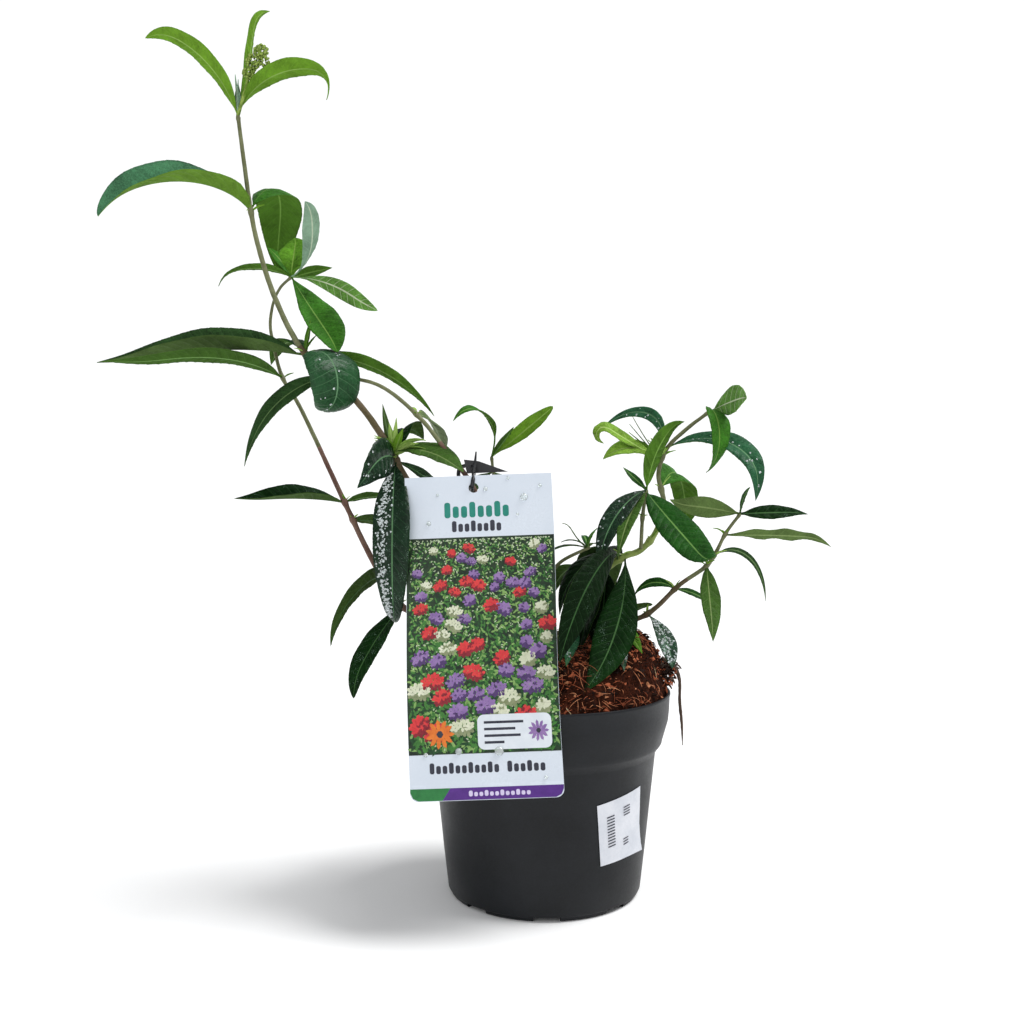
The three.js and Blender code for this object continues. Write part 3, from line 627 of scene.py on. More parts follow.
@dataclass(frozen=True)
class Stem:
    """A tapering stem: radius at foot and tip and the places it bends through."""

    name: str
    foot: float
    tip: float
    path: tuple[Point, ...]
    bark: Finish
    nodes: tuple[float, ...] = ()
    young: float = 0.6

    def curve(self) -> np.ndarray:
        """Points along the stem's axis, evenly spaced."""
        rough = smooth_path(self.path, 24)
        along = np.concatenate([[0.0], np.cumsum(np.linalg.norm(np.diff(rough, axis=0), axis=1))])
        even = np.linspace(0.0, along[-1], max(12, int(along[-1] / 1.6)))
        return np.stack([np.interp(even, along, rough[:, axis]) for axis in range(3)], axis=1)

    def at(self, place: float) -> np.ndarray:
        """The axis point at a share of the stem's length."""
        curve = self.curve()
        spot = place * (len(curve) - 1)
        low = min(int(spot), len(curve) - 2)
        return curve[low] + (curve[low + 1] - curve[low]) * (spot - low)

    def radius(self, place: float) -> float:
        """The stem's plain radius at a share of its length."""
        return self.foot + (self.tip - self.foot) * place

    def draw(self, draft: MeshDraft, floor: float) -> None:
        """Adds the stem with its swollen nodes and bark ridges.

        Args:
            draft: The piece to add to.
            floor: Height of the flat cut at the stem's foot.
        """
        curve = self.curve()
        curve = curve[curve[:, 2] > floor - 1.5]
        count = len(curve)
        full = np.linalg.norm(np.diff(self.curve(), axis=0), axis=1).sum()
        kept = np.linalg.norm(np.diff(curve, axis=0), axis=1).sum()
        shares = 1.0 - kept / full * (1.0 - np.linspace(0.0, 1.0, count))
        swell = np.zeros(count)
        for node in (*self.nodes, 1.0):
            swell += NODE_SWELL * np.exp(-(((shares - node) * full / NODE_SPREAD) ** 2))
        radii = [self.radius(share) * (1.0 + extra) for share, extra in zip(shares, swell)]
        radii[-1] *= TIP_SHARE
        offset = sum(map(ord, self.name))

        def ridged(turn: float, along: float) -> float:
            """Share of the radius with four soft edges and uneven bark."""
            spot = Vector((math.cos(turn) * 1.4, math.sin(turn) * 1.4, along * 0.16 + offset))
            return 1.0 + 0.05 * math.cos(4 * turn) + 0.09 * noise.noise(spot) + 0.03 * noise.noise(spot * 5.0)

        edge = self.young * full + 6.0 - (full - kept)
        barks = [self.bark if step * kept / count < edge else BARK_YOUNG for step in range(count - 1)]
        tube(draft, curve, radii, barks, sides=14, shape=ridged)


# ------------------------------------------------------------------ leaves
VEIN_STEP = 6.4  # distance between side veins along the midrib
VEIN_WIDTH = 0.38
FINE_STEPS = 80  # parts that the midrib's curve is worked out in
RIB_HALF, RIB_SHARE = 0.5, 0.22  # half width of the midrib, and its greatest share of the blade
RIB_RISE, VEIN_RISE = 0.35, 0.15  # how far the midrib and side veins stand out below
BLADE_HALF, STALK_HALF = 0.16, 0.35  # half thickness of the blade, and what the stalk adds to it
PUFF = 0.75  # how far the panels between the veins rise
SLANT = 0.12  # how far the side veins lean to the tip, as a share of the length
TOOTH = 0.008


@dataclass(frozen=True)
class Leaf:
    """A leaf: where it grows, how it leans and hangs, and its size."""

    mass: str
    stem: str
    place: float
    heading: float
    rise: float
    droop: float
    length: float
    width: float
    roll: float = 0.0
    sweep: float = 0.0
    hook: float = 0.0
    twist: float = 0.0
    fold: float = 22.0
    wave: float = 0.03
    stalk: float = 0.05
    belly: float = 0.84
    point: float = 1.0
    early: float = 1.0
    tint: Tint = Tint.MID

    def half_width(self, share: np.ndarray) -> np.ndarray:
        """Half the leaf's width at shares of its length."""
        blade = np.clip((share - self.stalk) / (1.0 - self.stalk), 0.0, 1.0)
        outline = np.maximum(np.sin(np.pi * blade ** self.belly), 0.0) ** self.point
        stalk = 0.55 * (1.0 - ramp(share, 0.6, 1.0))
        return np.maximum(outline * self.width / 2.0, stalk)

    @cached_property
    def spine(self) -> tuple[np.ndarray, np.ndarray, np.ndarray, np.ndarray]:
        """The leaf's midrib as if it grew at the origin, kept after first use.

        Returns:
            Shares along the leaf, and the place, side and upward direction at each.
        """
        shares = np.linspace(0.0, 1.0, FINE_STEPS + 1)
        lift = np.radians(self.rise - self.droop * shares ** self.early - self.hook * ramp(shares, 0.65, 1.0))
        turn = np.radians(self.heading + self.sweep * shares)
        steps = np.stack([np.cos(turn) * np.cos(lift), np.sin(turn) * np.cos(lift), np.sin(lift)], axis=1)
        middles = (steps[1:] + steps[:-1]) / 2.0
        middles /= np.linalg.norm(middles, axis=1)[:, None]
        places = np.vstack([np.zeros(3), np.cumsum(middles * self.length / FINE_STEPS, axis=0)])
        level = np.stack([-np.sin(turn), np.cos(turn), np.zeros_like(turn)], axis=1)
        upward = np.cross(steps, level)
        angle = np.radians(self.roll + self.twist * shares)[:, None]
        side = level * np.cos(angle) + upward * np.sin(angle)
        normal = upward * np.cos(angle) - level * np.sin(angle)
        return shares, places, side, normal

    def rows(self) -> tuple[np.ndarray, np.ndarray]:
        """Places of the mesh's rows along the midrib, and which gaps between them are side veins."""
        count = max(4, round(self.length / VEIN_STEP))
        half_vein = VEIN_WIDTH / 2.0 / self.length
        starts = np.linspace(0.0, 1.0, count + 1)
        rows, veins = [0.0], []
        for first, last in zip(starts[:-1], starts[1:]):
            gap = last - first
            rows += [first + gap * 0.3, first + gap * 0.5 - half_vein, first + gap * 0.5 + half_vein,
                     first + gap * 0.75]
            veins += [False, False, True, False]
        rows.append(1.0)
        veins.append(False)
        return np.array(rows), np.array(veins)

    def surface(self, along: float, u: float, phase: float) -> tuple[np.ndarray, np.ndarray, float]:
        """A place on the leaf's upper face, as if it grew at the origin.

        Args:
            along: Share of the leaf's length.
            u: Share of the half width, negative on one side.
            phase: Start of the margin's ruffle, radians.

        Returns:
            The place, the upward direction and half the width there.
        """
        shares, *tracks = self.spine
        centre, across, up = (np.array([np.interp(along, shares, track[:, axis]) for axis in range(3)])
                              for track in tracks)
        width = float(self.half_width(np.array([along]))[0])
        reach = abs(u)
        ruffle = self.wave * width * reach ** 2 * math.sin(22.0 * along + phase + (1.6 if u > 0 else 0.0))
        lift = width * (math.tan(math.radians(self.fold)) * reach - 0.22 * reach ** 2) + ruffle
        return centre + across * (u * width) + up * lift, up, width

    def draw(self, draft: MeshDraft, base: np.ndarray, dice: random.Random) -> None:
        """Adds the leaf as a thin closed shell with raised panels between its veins.

        Args:
            draft: The piece to add to.
            base: The place on the stem's axis where the leaf starts.
            dice: Seeded source of the leaf's small unevenness.
        """
        rows, veins = self.rows()
        rib = min(RIB_SHARE, RIB_HALF / max(self.width / 2.0, RIB_HALF))
        half = [rib, 0.34, 0.56, 0.78, 1.0]
        columns = np.array([-u for u in reversed(half)] + half)
        slant = min(SLANT, self.width / 2.0 / self.length * 0.9)
        phase = dice.uniform(0.0, 6.28)

        upper, under = [], []
        for number, row in enumerate(rows):
            on_vein = (number > 0 and veins[number - 1]) or (number < len(veins) and veins[number])
            for u in columns:
                reach = abs(u)
                room = min(1.0, (1.0 - row) / max(2.0 * slant, 1e-6))
                along = row + reach * slant * room * float(ramp(row, 0.0, 0.14))
                tooth = 1.0 + (TOOTH if number % 2 else -TOOTH) * (reach > 0.99)
                place, up, width = self.surface(along, u * tooth, phase)
                panel = 0.0 if on_vein or reach <= rib else PUFF * min(1.0, width / 9.0) * (1.15 - reach)
                place = base + place + up * panel
                thin = BLADE_HALF + STALK_HALF * math.exp(-along / 0.05)
                ridge = RIB_RISE * (1.0 - 0.6 * along) if reach <= rib else (VEIN_RISE if on_vein else 0.0)
                upper.append(place + up * thin)
                under.append(place - up * (thin + ridge))
        across_count = len(columns)
        total = len(rows) * across_count
        dress = self.tint.value
        faces: list[tuple[int, ...]] = []
        finishes: list[Finish] = []
        for row in range(len(rows) - 1):
            for column in range(across_count - 1):
                a = row * across_count + column
                b, c, d = a + across_count, a + across_count + 1, a + 1
                is_rib = column == across_count // 2 - 1
                is_vein = bool(veins[row]) and 0.06 < rows[row] < 0.93
                faces.append((a, b, c, d))
                finishes.append(dress.rib if is_rib else dress.vein if is_vein else dress.upper)
                faces.append((d + total, c + total, b + total, a + total))
                finishes.append(dress.rib if is_rib else dress.under_vein if is_vein else dress.under)
        last_row = (len(rows) - 1) * across_count
        rim = [(row * across_count, (row + 1) * across_count) for row in range(len(rows) - 1)]
        rim += [(last_row + column, last_row + column + 1) for column in range(across_count - 1)]
        rim += [((row + 1) * across_count + across_count - 1, row * across_count + across_count - 1)
                for row in reversed(range(len(rows) - 1))]
        rim += [(column + 1, column) for column in reversed(range(across_count - 1))]
        for first, second in rim:
            faces.append((second, first, first + total, second + total))
            finishes.append(dress.under)
        draft.add(upper + under, faces, finishes)


# Stems by name: radius at foot and tip, then the places that each bends through.
STEMS = {stem.name: stem for stem in (
    Stem("main_stem", 2.9, 1.3, ((-6, 0, 166), (-50, -14, 214), (-92, -24, 281), (-107, -24, 308),
         (-124, -22, 331), (-158, -18, 362), (-178, -14, 398), (-191, -12, 438), (-195, -10, 457),
         (-200, -8, 492), (-204, -6, 521)), BARK_BROWN, (0.38, 0.6, 0.846)),
    Stem("second_stem", 2.6, 0.9, ((-6, 8, 166), (-15, 10, 176), (-62, 14, 181), (-99, 12, 192),
         (-117, 10, 222), (-138, 10, 266), (-168, 12, 330), (-180, 14, 350), (-186, 16, 372),
         (-189, 20, 386), (-187, 22, 402), (-181, 16, 411), (-172, 8, 417)), BARK_GREY,
         (0.28, 0.344, 0.47, 0.507, 0.773)),
    Stem("third_stem", 2.1, 1.1, ((-3, -9, 166), (-27, -26, 227), (-49, -34, 278), (-65, -32, 299),
         (-83, -26, 321), (-110, -18, 342), (-141, -10, 349)), BARK_GREY, (0.734,)),
    Stem("fourth_stem", 1.5, 1.0, ((-1, 10, 166), (-18, 14, 220), (-34, 10, 279), (-36, 8, 295)), BARK_GREEN,
         (0.55,)),
    Stem("right_stem", 2.6, 1.2, ((5, 0, 166), (36, -4, 196), (39, -8, 216), (52, -8, 227), (65, -4, 232),
         (76, 2, 244), (82, 8, 263), (78, 6, 283), (83, 4, 300), (98, 2, 315), (111, 0, 325)), BARK_GREEN,
         (0.27, 0.38, 0.5, 0.686, 0.79)),
    Stem("front_shoot", 1.3, 1.1, ((65, -5, 233), (65, -16, 256), (67, -20, 273)), BARK_YOUNG, (0.55,)),
    Stem("low_right_stem", 2.1, 1.0, ((4, 9, 166), (14, 9, 175), (65, 8, 184), (76, 6, 191), (92, 4, 207),
         (111, 2, 221), (116, 2, 228), (124, 4, 243), (134, 6, 256)), BARK_BROWN,
         (0.43, 0.585, 0.744, 0.796, 0.892)),
    Stem("side_shoot", 1.5, 1.0, ((5, -8, 166), (-3, -24, 194), (7, -28, 223), (29, -30, 236)), BARK_BROWN),
)}


def leaf(mass: str, stem: str, place: float, heading: float, rise: float, droop: float, length: float,
         width: float, roll: float = 0.0, tint: Tint = Tint.MID, **more: float) -> Leaf:
    """A leaf of a foliage mass, with its lean first and its tint and finer shape after.

    Args:
        mass: The mass's CAD node, without its prefix.
        stem: The stem it grows on.
        place: Share of the stem's length, 0 at the foot and 1 at the tip.
        heading: Direction round the upright, degrees from +X.
        rise: Angle over level at its base, degrees.
        droop: How far it bends down to its tip, degrees.
        length: Length in millimetres.
        width: Greatest width in millimetres.
        roll: Turn about its own midrib, degrees.
        tint: Its kind.
        **more: Sweep, hook, twist, fold, wave, stalk, belly, point or early.

    Returns:
        The leaf.
    """
    return Leaf(f"foliage_{mass}", stem, place, heading, rise, droop, length, width, roll, tint=tint, **more)


LEAVES: tuple[Leaf, ...] = (
    leaf("top_left", "main_stem", 1, -152, 72, 59, 91, 18, 22, Tint.BRIGHT, sweep=-57, hook=22, twist=21,
         belly=0.9, point=0.82),
    leaf("top_right", "main_stem", 1, 71, 68, -15, 93, 12, -65, Tint.BRIGHT, sweep=-8, hook=61, twist=-14,
         belly=0.95),
    leaf("top_right", "main_stem", 1, 16, 73, 114, 90, 20, -16, Tint.BRIGHT, sweep=-31, hook=67, twist=-9,
         stalk=0.11, belly=0.73, point=0.8),
    leaf("upper_left", "main_stem", 0.846, -150, 60, 90, 115, 28, 16, Tint.BLUISH, sweep=-60, hook=8,
         twist=-96, fold=42, stalk=0.03, belly=0.78, point=0.62, early=0.5),
    leaf("upper_back", "main_stem", 0.849, 60, 60, 160, 117, 32, 1, Tint.FRESH, sweep=69, twist=7, fold=-6,
         belly=0.95, point=0.72),
    leaf("shoot_up", "second_stem", 1, -36, 18, -54, 70, 14, 25, Tint.PALE, sweep=-69, hook=52, twist=17,
         stalk=0.12, belly=1.15, point=0.85),
    leaf("shoot_up", "second_stem", 1, 76, 78, 47, 38, 25, -15, Tint.BRIGHT, sweep=27, hook=-4, belly=0.65),
    leaf("shoot_up", "second_stem", 1, 150, 56, 20, 31, 11, -15, Tint.FRESH),
    leaf("shoot_up", "second_stem", 1, 178, 28, 62, 55, 12, 18, Tint.FRESH, sweep=15, hook=33, twist=-10,
         belly=0.6),
    leaf("shoot_up", "second_stem", 1, 25, 18, 4, 30, 9, -50, Tint.FRESH),
    leaf("shoot_right", "second_stem", 1, -22, -4, 40, 75, 12, 91, Tint.STRIPED, sweep=-9, hook=-17,
         stalk=0.12, belly=1.18, point=0.75),
    leaf("shoot_low", "second_stem", 1, -25, -57, -25, 76, 26, 14, Tint.FRESH, sweep=-38, hook=8, fold=30,
         stalk=0.03, belly=1.2, point=0.7),
    leaf("middle_left", "main_stem", 0.6, 183, 8, 25, 144, 22, -17, Tint.MOSS, sweep=-16, hook=-17, twist=-8,
         fold=54, belly=0.72),
    leaf("middle_front", "main_stem", 0.6, -42, 25, 190, 75, 37, 12, Tint.GLOSSY, hook=30, fold=4,
         stalk=0.03, belly=0.92, point=0.55),
    leaf("middle_right", "main_stem", 0.6, 11, 4, 58, 98, 15, -30, Tint.FRESH, twist=5, belly=0.77),
    leaf("middle_front", "main_stem", 0.605, -10, 74, -8, 22, 4, -30, Tint.FRESH),
    leaf("middle_front", "main_stem", 0.605, 30, 58, 8, 15, 4, -30, Tint.FRESH),
    leaf("middle_back", "main_stem", 0.605, 125, 40, 90, 60, 18, 0, Tint.MID),
    leaf("second_left", "second_stem", 0.773, -115, 19, 41, 131, 17, 19, Tint.MID, sweep=-51, hook=-21,
         twist=19, stalk=0.03, belly=0.79),
    leaf("low_left", "second_stem", 0.507, 214, 8, 14, 79, 15, -8, Tint.DEEP, hook=-11, twist=-30, fold=50,
         stalk=0.03, belly=0.82),
    leaf("low_right", "second_stem", 0.507, 5, 20, 33, 39, 12, -30, Tint.MID, hook=-30, twist=14,
         belly=0.75),
    leaf("low_small", "second_stem", 0.47, 14, 1, 19, 33, 12, -40, Tint.DEEP, sweep=-6, hook=-17, twist=10,
         stalk=0.03, belly=0.7),
    leaf("hanging", "second_stem", 0.344, -93, 18, 102, 82, 17, 70, Tint.DEEP, sweep=-65, twist=-5,
         stalk=0.03, belly=0.7),
    leaf("lowest", "second_stem", 0.278, -134, -38, 22, 74, 19, -2, Tint.DEEP, sweep=3, hook=26, twist=-13,
         stalk=0.03, belly=0.95, point=0.75),
    leaf("arch", "third_stem", 1, -167, -10, 73, 90, 16, -54, Tint.MOSS, sweep=-21, hook=-6, twist=8,
         belly=0.78),
    leaf("bend", "third_stem", 0.734, 73, 0, 41, 76, 18, 47, Tint.SAGE, sweep=10, hook=-6, twist=-18,
         belly=0.81),
    leaf("label_front", "main_stem", 0.379, -88, -25, 109, 135, 25, 18, Tint.WET, hook=31, stalk=0.07,
         belly=0.78, point=0.9),
    leaf("label_left", "main_stem", 0.382, -103, 19, 86, 57, 25, -81, Tint.WET, sweep=-19, hook=-25,
         twist=-8, fold=18, stalk=0.03, belly=0.7),
    leaf("label_right", "main_stem", 0.395, -22, 12, 54, 58, 25, 24, Tint.OLIVE, sweep=-11, hook=-9,
         twist=-12, stalk=0.03, belly=1.01),
    leaf("label_right", "main_stem", 0.379, 30, -22, 30, 58, 14, 40, Tint.DEEP),
    leaf("label_left", "main_stem", 0.385, 178, 74, -8, 36, 5, 80, Tint.MOSS),
    leaf("label_left", "main_stem", 0.385, -60, 62, 20, 24, 4.5, -20, Tint.BRIGHT),
    leaf("label_left", "main_stem", 0.385, -20, 38, 56, 27, 5, -20, Tint.YOUNG),
    leaf("label_left", "main_stem", 0.385, -140, 52, 30, 19, 5, -20, Tint.YOUNG),
    leaf("label_left", "main_stem", 0.388, -100, 80, 30, 24, 4, 30, Tint.YOUNG),
    leaf("label_left", "main_stem", 0.388, -75, 66, 10, 28, 4, -50, Tint.YOUNG),
    leaf("label_left", "main_stem", 0.388, -35, 50, 62, 31, 4, -40, Tint.YOUNG),
    leaf("label_left", "main_stem", 0.388, -50, 30, 30, 30, 4, -40, Tint.YOUNG),
    leaf("label_left", "main_stem", 0.388, -130, 68, 70, 22, 4, 20, Tint.YOUNG),
    leaf("label_left", "main_stem", 0.388, -115, 40, 60, 15, 4, 20, Tint.YOUNG),
    leaf("label_back", "main_stem", 0.385, 74, 89, 140, 48, 25, -12, Tint.DEEP, sweep=-24, twist=-10,
         stalk=0.03, belly=0.7),
    leaf("behind", "fourth_stem", 1, -68, 51, 45, 75, 10, -23, Tint.FRESH, sweep=-90, hook=57, stalk=0.2,
         belly=1.25),
    leaf("behind", "fourth_stem", 1, -30, 33, -4, 58, 12, -40, Tint.BRIGHT, point=0.6, belly=1.05,
         stalk=0.12),
    leaf("behind", "fourth_stem", 1, -43, 40, -8, 29, 6, -20, Tint.MID),
    leaf("tip", "right_stem", 1, -44, 22, 25, 48, 20, 77, Tint.STRIPED, sweep=-47, hook=4, twist=4,
         stalk=0.09, belly=0.98),
    leaf("tip", "right_stem", 1, -89, 21, 200, 67, 18, -19, Tint.FRESH, sweep=24, hook=-21, twist=-8,
         belly=0.75),
    leaf("crown_right", "right_stem", 0.828, -9, 27, 101, 95, 19, 33, Tint.TEAL, sweep=-69, hook=41,
         twist=-13),
    leaf("crown_back", "right_stem", 0.809, 84, 79, 125, 77, 9, -54, Tint.TEAL, sweep=90, twist=-12,
         belly=0.89),
    leaf("crown_young", "right_stem", 0.781, -172, 29, -4, 62, 11, -45, Tint.YOUNG, hook=185, stalk=0.1,
         belly=1.1),
    leaf("crown_young", "right_stem", 0.781, -170, 44, 86, 45, 18, -34, Tint.YOUNG, belly=0.9),
    leaf("crown_young", "right_stem", 0.781, 168, 47, -4, 33, 2, 0, Tint.FRESH),
    leaf("crown_young", "right_stem", 0.781, 176, 52, -10, 36, 2, 0, Tint.OLIVE),
    leaf("crown_young", "right_stem", 0.781, -160, 40, 4, 31, 2, 0, Tint.FRESH),
    leaf("crown_bend", "right_stem", 0.686, 60, 50, 155, 83, 28, 44, Tint.FRESH, sweep=10, hook=-30,
         twist=-22, fold=14, stalk=0.04, belly=1.2, point=0.6),
    leaf("front_up", "front_shoot", 1, 37, 82, 56, 63, 16, -85, Tint.FRESH, sweep=5, hook=18, twist=3,
         belly=0.7),
    leaf("front_up", "front_shoot", 1, 146, 38, -4, 23, 6, -30, Tint.MID),
    leaf("front_up", "front_shoot", 0.97, -118, -16, 48, 64, 13, 5, Tint.OLIVE),
    leaf("front_right", "front_shoot", 0.966, -48, -43, -30, 98, 24, 22, Tint.MID, sweep=-38, hook=-30,
         fold=16, stalk=0.03, belly=0.75, point=0.7),
    leaf("front_left", "front_shoot", 1, -135, -12, 68, 70, 17, -15, Tint.WET, sweep=-7, hook=6, belly=0.88,
         point=0.85),
    leaf("large", "right_stem", 0.397, -90, -50, -4, 109, 26, -25, Tint.DEEP, sweep=-50, hook=-6, twist=-10,
         fold=16, stalk=0.04, belly=1.1),
    # Painted shade: the next three leaves take the near-black tint for the shadow under the large leaf; the
    # first two fill that shadow.
    leaf("large", "right_stem", 0.397, -150, 15, 100, 72, 20, 0, Tint.SHADE),
    leaf("large", "right_stem", 0.397, 118, 25, 110, 78, 22, 0, Tint.SHADE),
    leaf("large_left", "right_stem", 0.369, -93, 29, 121, 131, 22, -69, Tint.SHADE, sweep=-57, hook=-15,
         fold=16, stalk=0.15, belly=1.2),
    leaf("right_inner", "low_right_stem", 1, 175, 13, 11, 50, 15, 71, Tint.OLIVE, sweep=14, hook=-23,
         twist=8, fold=16, stalk=0.03, belly=0.94),
    leaf("right_outer", "low_right_stem", 1, -2, 2, 1, 46, 12, 55, Tint.DEEP, hook=10, twist=-11,
         stalk=0.03),
    leaf("right_outer", "low_right_stem", 1, -70, 77, 42, 23, 6, 80, Tint.MID),
    leaf("right_wavy", "low_right_stem", 0.892, -16, 2, 9, 79, 10, -42, Tint.OLIVE, sweep=45, hook=24,
         twist=-13, wave=0.2, stalk=0.03, belly=0.8),
    leaf("right_arch", "low_right_stem", 0.796, 39, 26, 124, 72, 5, 76, Tint.MOSS, sweep=-15, hook=-8,
         twist=9, belly=0.86),
    leaf("right_hanging", "low_right_stem", 0.744, -83, -74, -37, 58, 16, -21, Tint.OLIVE, sweep=-14,
         twist=-6, stalk=0.03, belly=0.71),
    leaf("low_arch", "low_right_stem", 0.585, 149, 34, 92, 35, 8, -50, Tint.MID),
    leaf("low_arch", "low_right_stem", 0.3, 12, 44, 40, 29, 10, -40, Tint.DEEP, point=0.6),
    leaf("low_arch", "low_right_stem", 0.3, -76, -5, 20, 53, 10, 0, Tint.BRIGHT),
    leaf("low_arch", "low_right_stem", 0.3, -91, -12, 10, 73, 11, 0, Tint.BEADED),
    leaf("low_arch", "right_stem", 0.1, -98, -4, 20, 68, 11, -25, Tint.TEAL),
    leaf("low_arch", "low_right_stem", 0.585, 35, -8, 27, 40, 6, 55, Tint.MID),
    leaf("wet", "low_right_stem", 0.43, -61, -15, 67, 47, 14, -3, Tint.BEADED, twist=13, fold=16, stalk=0.07,
         belly=1.19, point=0.85),
    leaf("tuft", "side_shoot", 0.98, 178, 35, -40, 24, 4, 0, Tint.OLIVE, hook=60),
    leaf("tuft", "side_shoot", 0.98, 20, 82, 40, 15, 5, 0, Tint.FRESH),
    leaf("tuft", "side_shoot", 0.98, -165, 48, 70, 20, 5, 0, Tint.MOSS),
    leaf("tuft", "side_shoot", 0.98, -165, 20, 62, 34, 7, 0, Tint.DEEP),
    leaf("tuft", "side_shoot", 0.98, -60, 45, 60, 13, 4, 0, Tint.OLIVE),
    leaf("tuft", "side_shoot", 0.98, 100, 60, 70, 18, 5, 0, Tint.MID),
    leaf("center_back", "fourth_stem", 0.55, 75, 40, 110, 95, 24, 0, Tint.DEEP),
    leaf("center_back", "fourth_stem", 0.55, 140, 35, 105, 66, 18, 0, Tint.MID),
    leaf("center_back", "fourth_stem", 0.92, 62, -14, 60, 58, 17, 0, Tint.LEAF),
    leaf("center_back", "fourth_stem", 0.92, 128, -10, 60, 62, 18, 0, Tint.MID),
    leaf("main_back", "main_stem", 0.2, 110, 45, 125, 92, 24, 0, Tint.DEEP),
    leaf("main_back", "main_stem", 0.2, 60, 38, 105, 76, 20, 0, Tint.MID),
    leaf("main_back", "main_stem", 0.29, 88, 40, 95, 84, 21, 0, Tint.DEEP),
    leaf("label_back", "third_stem", 0.3, 112, 44, 112, 82, 20, 0, Tint.MID),
    leaf("label_back", "third_stem", 0.42, 74, 40, 96, 78, 19, 0, Tint.LEAF),
    leaf("right_back", "right_stem", 0.27, 80, 50, 130, 92, 24, 0, Tint.DEEP),
    leaf("right_back", "right_stem", 0.27, 118, 38, 108, 84, 21, 0, Tint.MID),
    leaf("right_back", "right_stem", 0.16, 96, 34, 96, 78, 20, 0, Tint.DEEP),
    # Painted shade: two near-black leaves hang behind the large leaves to fill the shadow between them.
    leaf("right_back", "right_stem", 0.33, -150, -58, 20, 62, 24, 0, Tint.SHADE),
    leaf("right_back", "right_stem", 0.33, -115, -72, 6, 60, 24, 0, Tint.SHADE),
)


# Drops on each square millimetre of the wet kinds.
DROPS_PER_AREA = {Tint.WET: 0.012, Tint.BEADED: 0.22, Tint.TEAL: 0.014, Tint.GLOSSY: 0.005}
# Middle and spread of a band of drops, in half widths of the leaf. Painted reflection: the crowded whitish
# drops stand in for a streak of reflected light.
REFLECTION_BEAD_BAND = {"foliage_label_front": (-0.5, 0.17)}
BAND_CROWDING = 12  # how much denser the drops lie in a band
GOLDEN_DEGREES = 137.5
GOLDEN_TURN = 2.399


def drop(draft: MeshDraft, place: np.ndarray, up: np.ndarray, radius: float) -> None:
    """Adds one low bead of water that sits on a surface.

    Args:
        draft: The piece to add to.
        place: Middle of the drop's foot.
        up: The surface's upward direction.
        radius: Radius of the foot in millimetres.
    """
    across = unit(np.cross(up, (0.3, 0.2, 0.93)))
    aside = np.cross(up, across)
    points, sides = [], 8
    for reach, rise in ((1.0, 0.0), (0.85, 0.35), (0.45, 0.62)):
        for side in range(sides):
            turn = side / sides * math.tau
            outward = math.cos(turn) * across + math.sin(turn) * aside
            points.append(place + radius * (reach * outward + rise * up))
    points += [place + up * radius * 0.7, place - up * radius * 0.1]
    faces = ring_faces(2, sides)
    faces += [(2 * sides + k, 2 * sides + (k + 1) % sides, 3 * sides) for k in range(sides)]
    faces += [((k + 1) % sides, k, 3 * sides + 1) for k in range(sides)]
    draft.add(points, faces, WATER_WITH_PAINTED_GLINT)


# Foliage masses that are joined into one piece.
REGIONS: dict[str, tuple[str, ...]] = {
    "top": ("top_left", "top_right", "upper_left", "upper_back"),
    "shoot": ("shoot_up", "shoot_right", "shoot_low"),
    "middle": ("middle_left", "middle_front", "middle_right", "middle_back", "second_left", "arch", "bend"),
    "low": ("low_left", "low_right", "low_small", "hanging", "lowest"),
    "label": ("label_front", "label_left", "label_right", "label_back", "behind", "center_back", "main_back"),
    "crown": ("tip", "crown_right", "crown_back", "crown_young", "crown_bend", "front_up", "right_back"),
    "front": ("front_right", "front_left", "large", "large_left"),
    "right": ("right_inner", "right_outer", "right_wavy", "right_arch", "right_hanging", "low_arch", "wet",
              "tuft"),
}


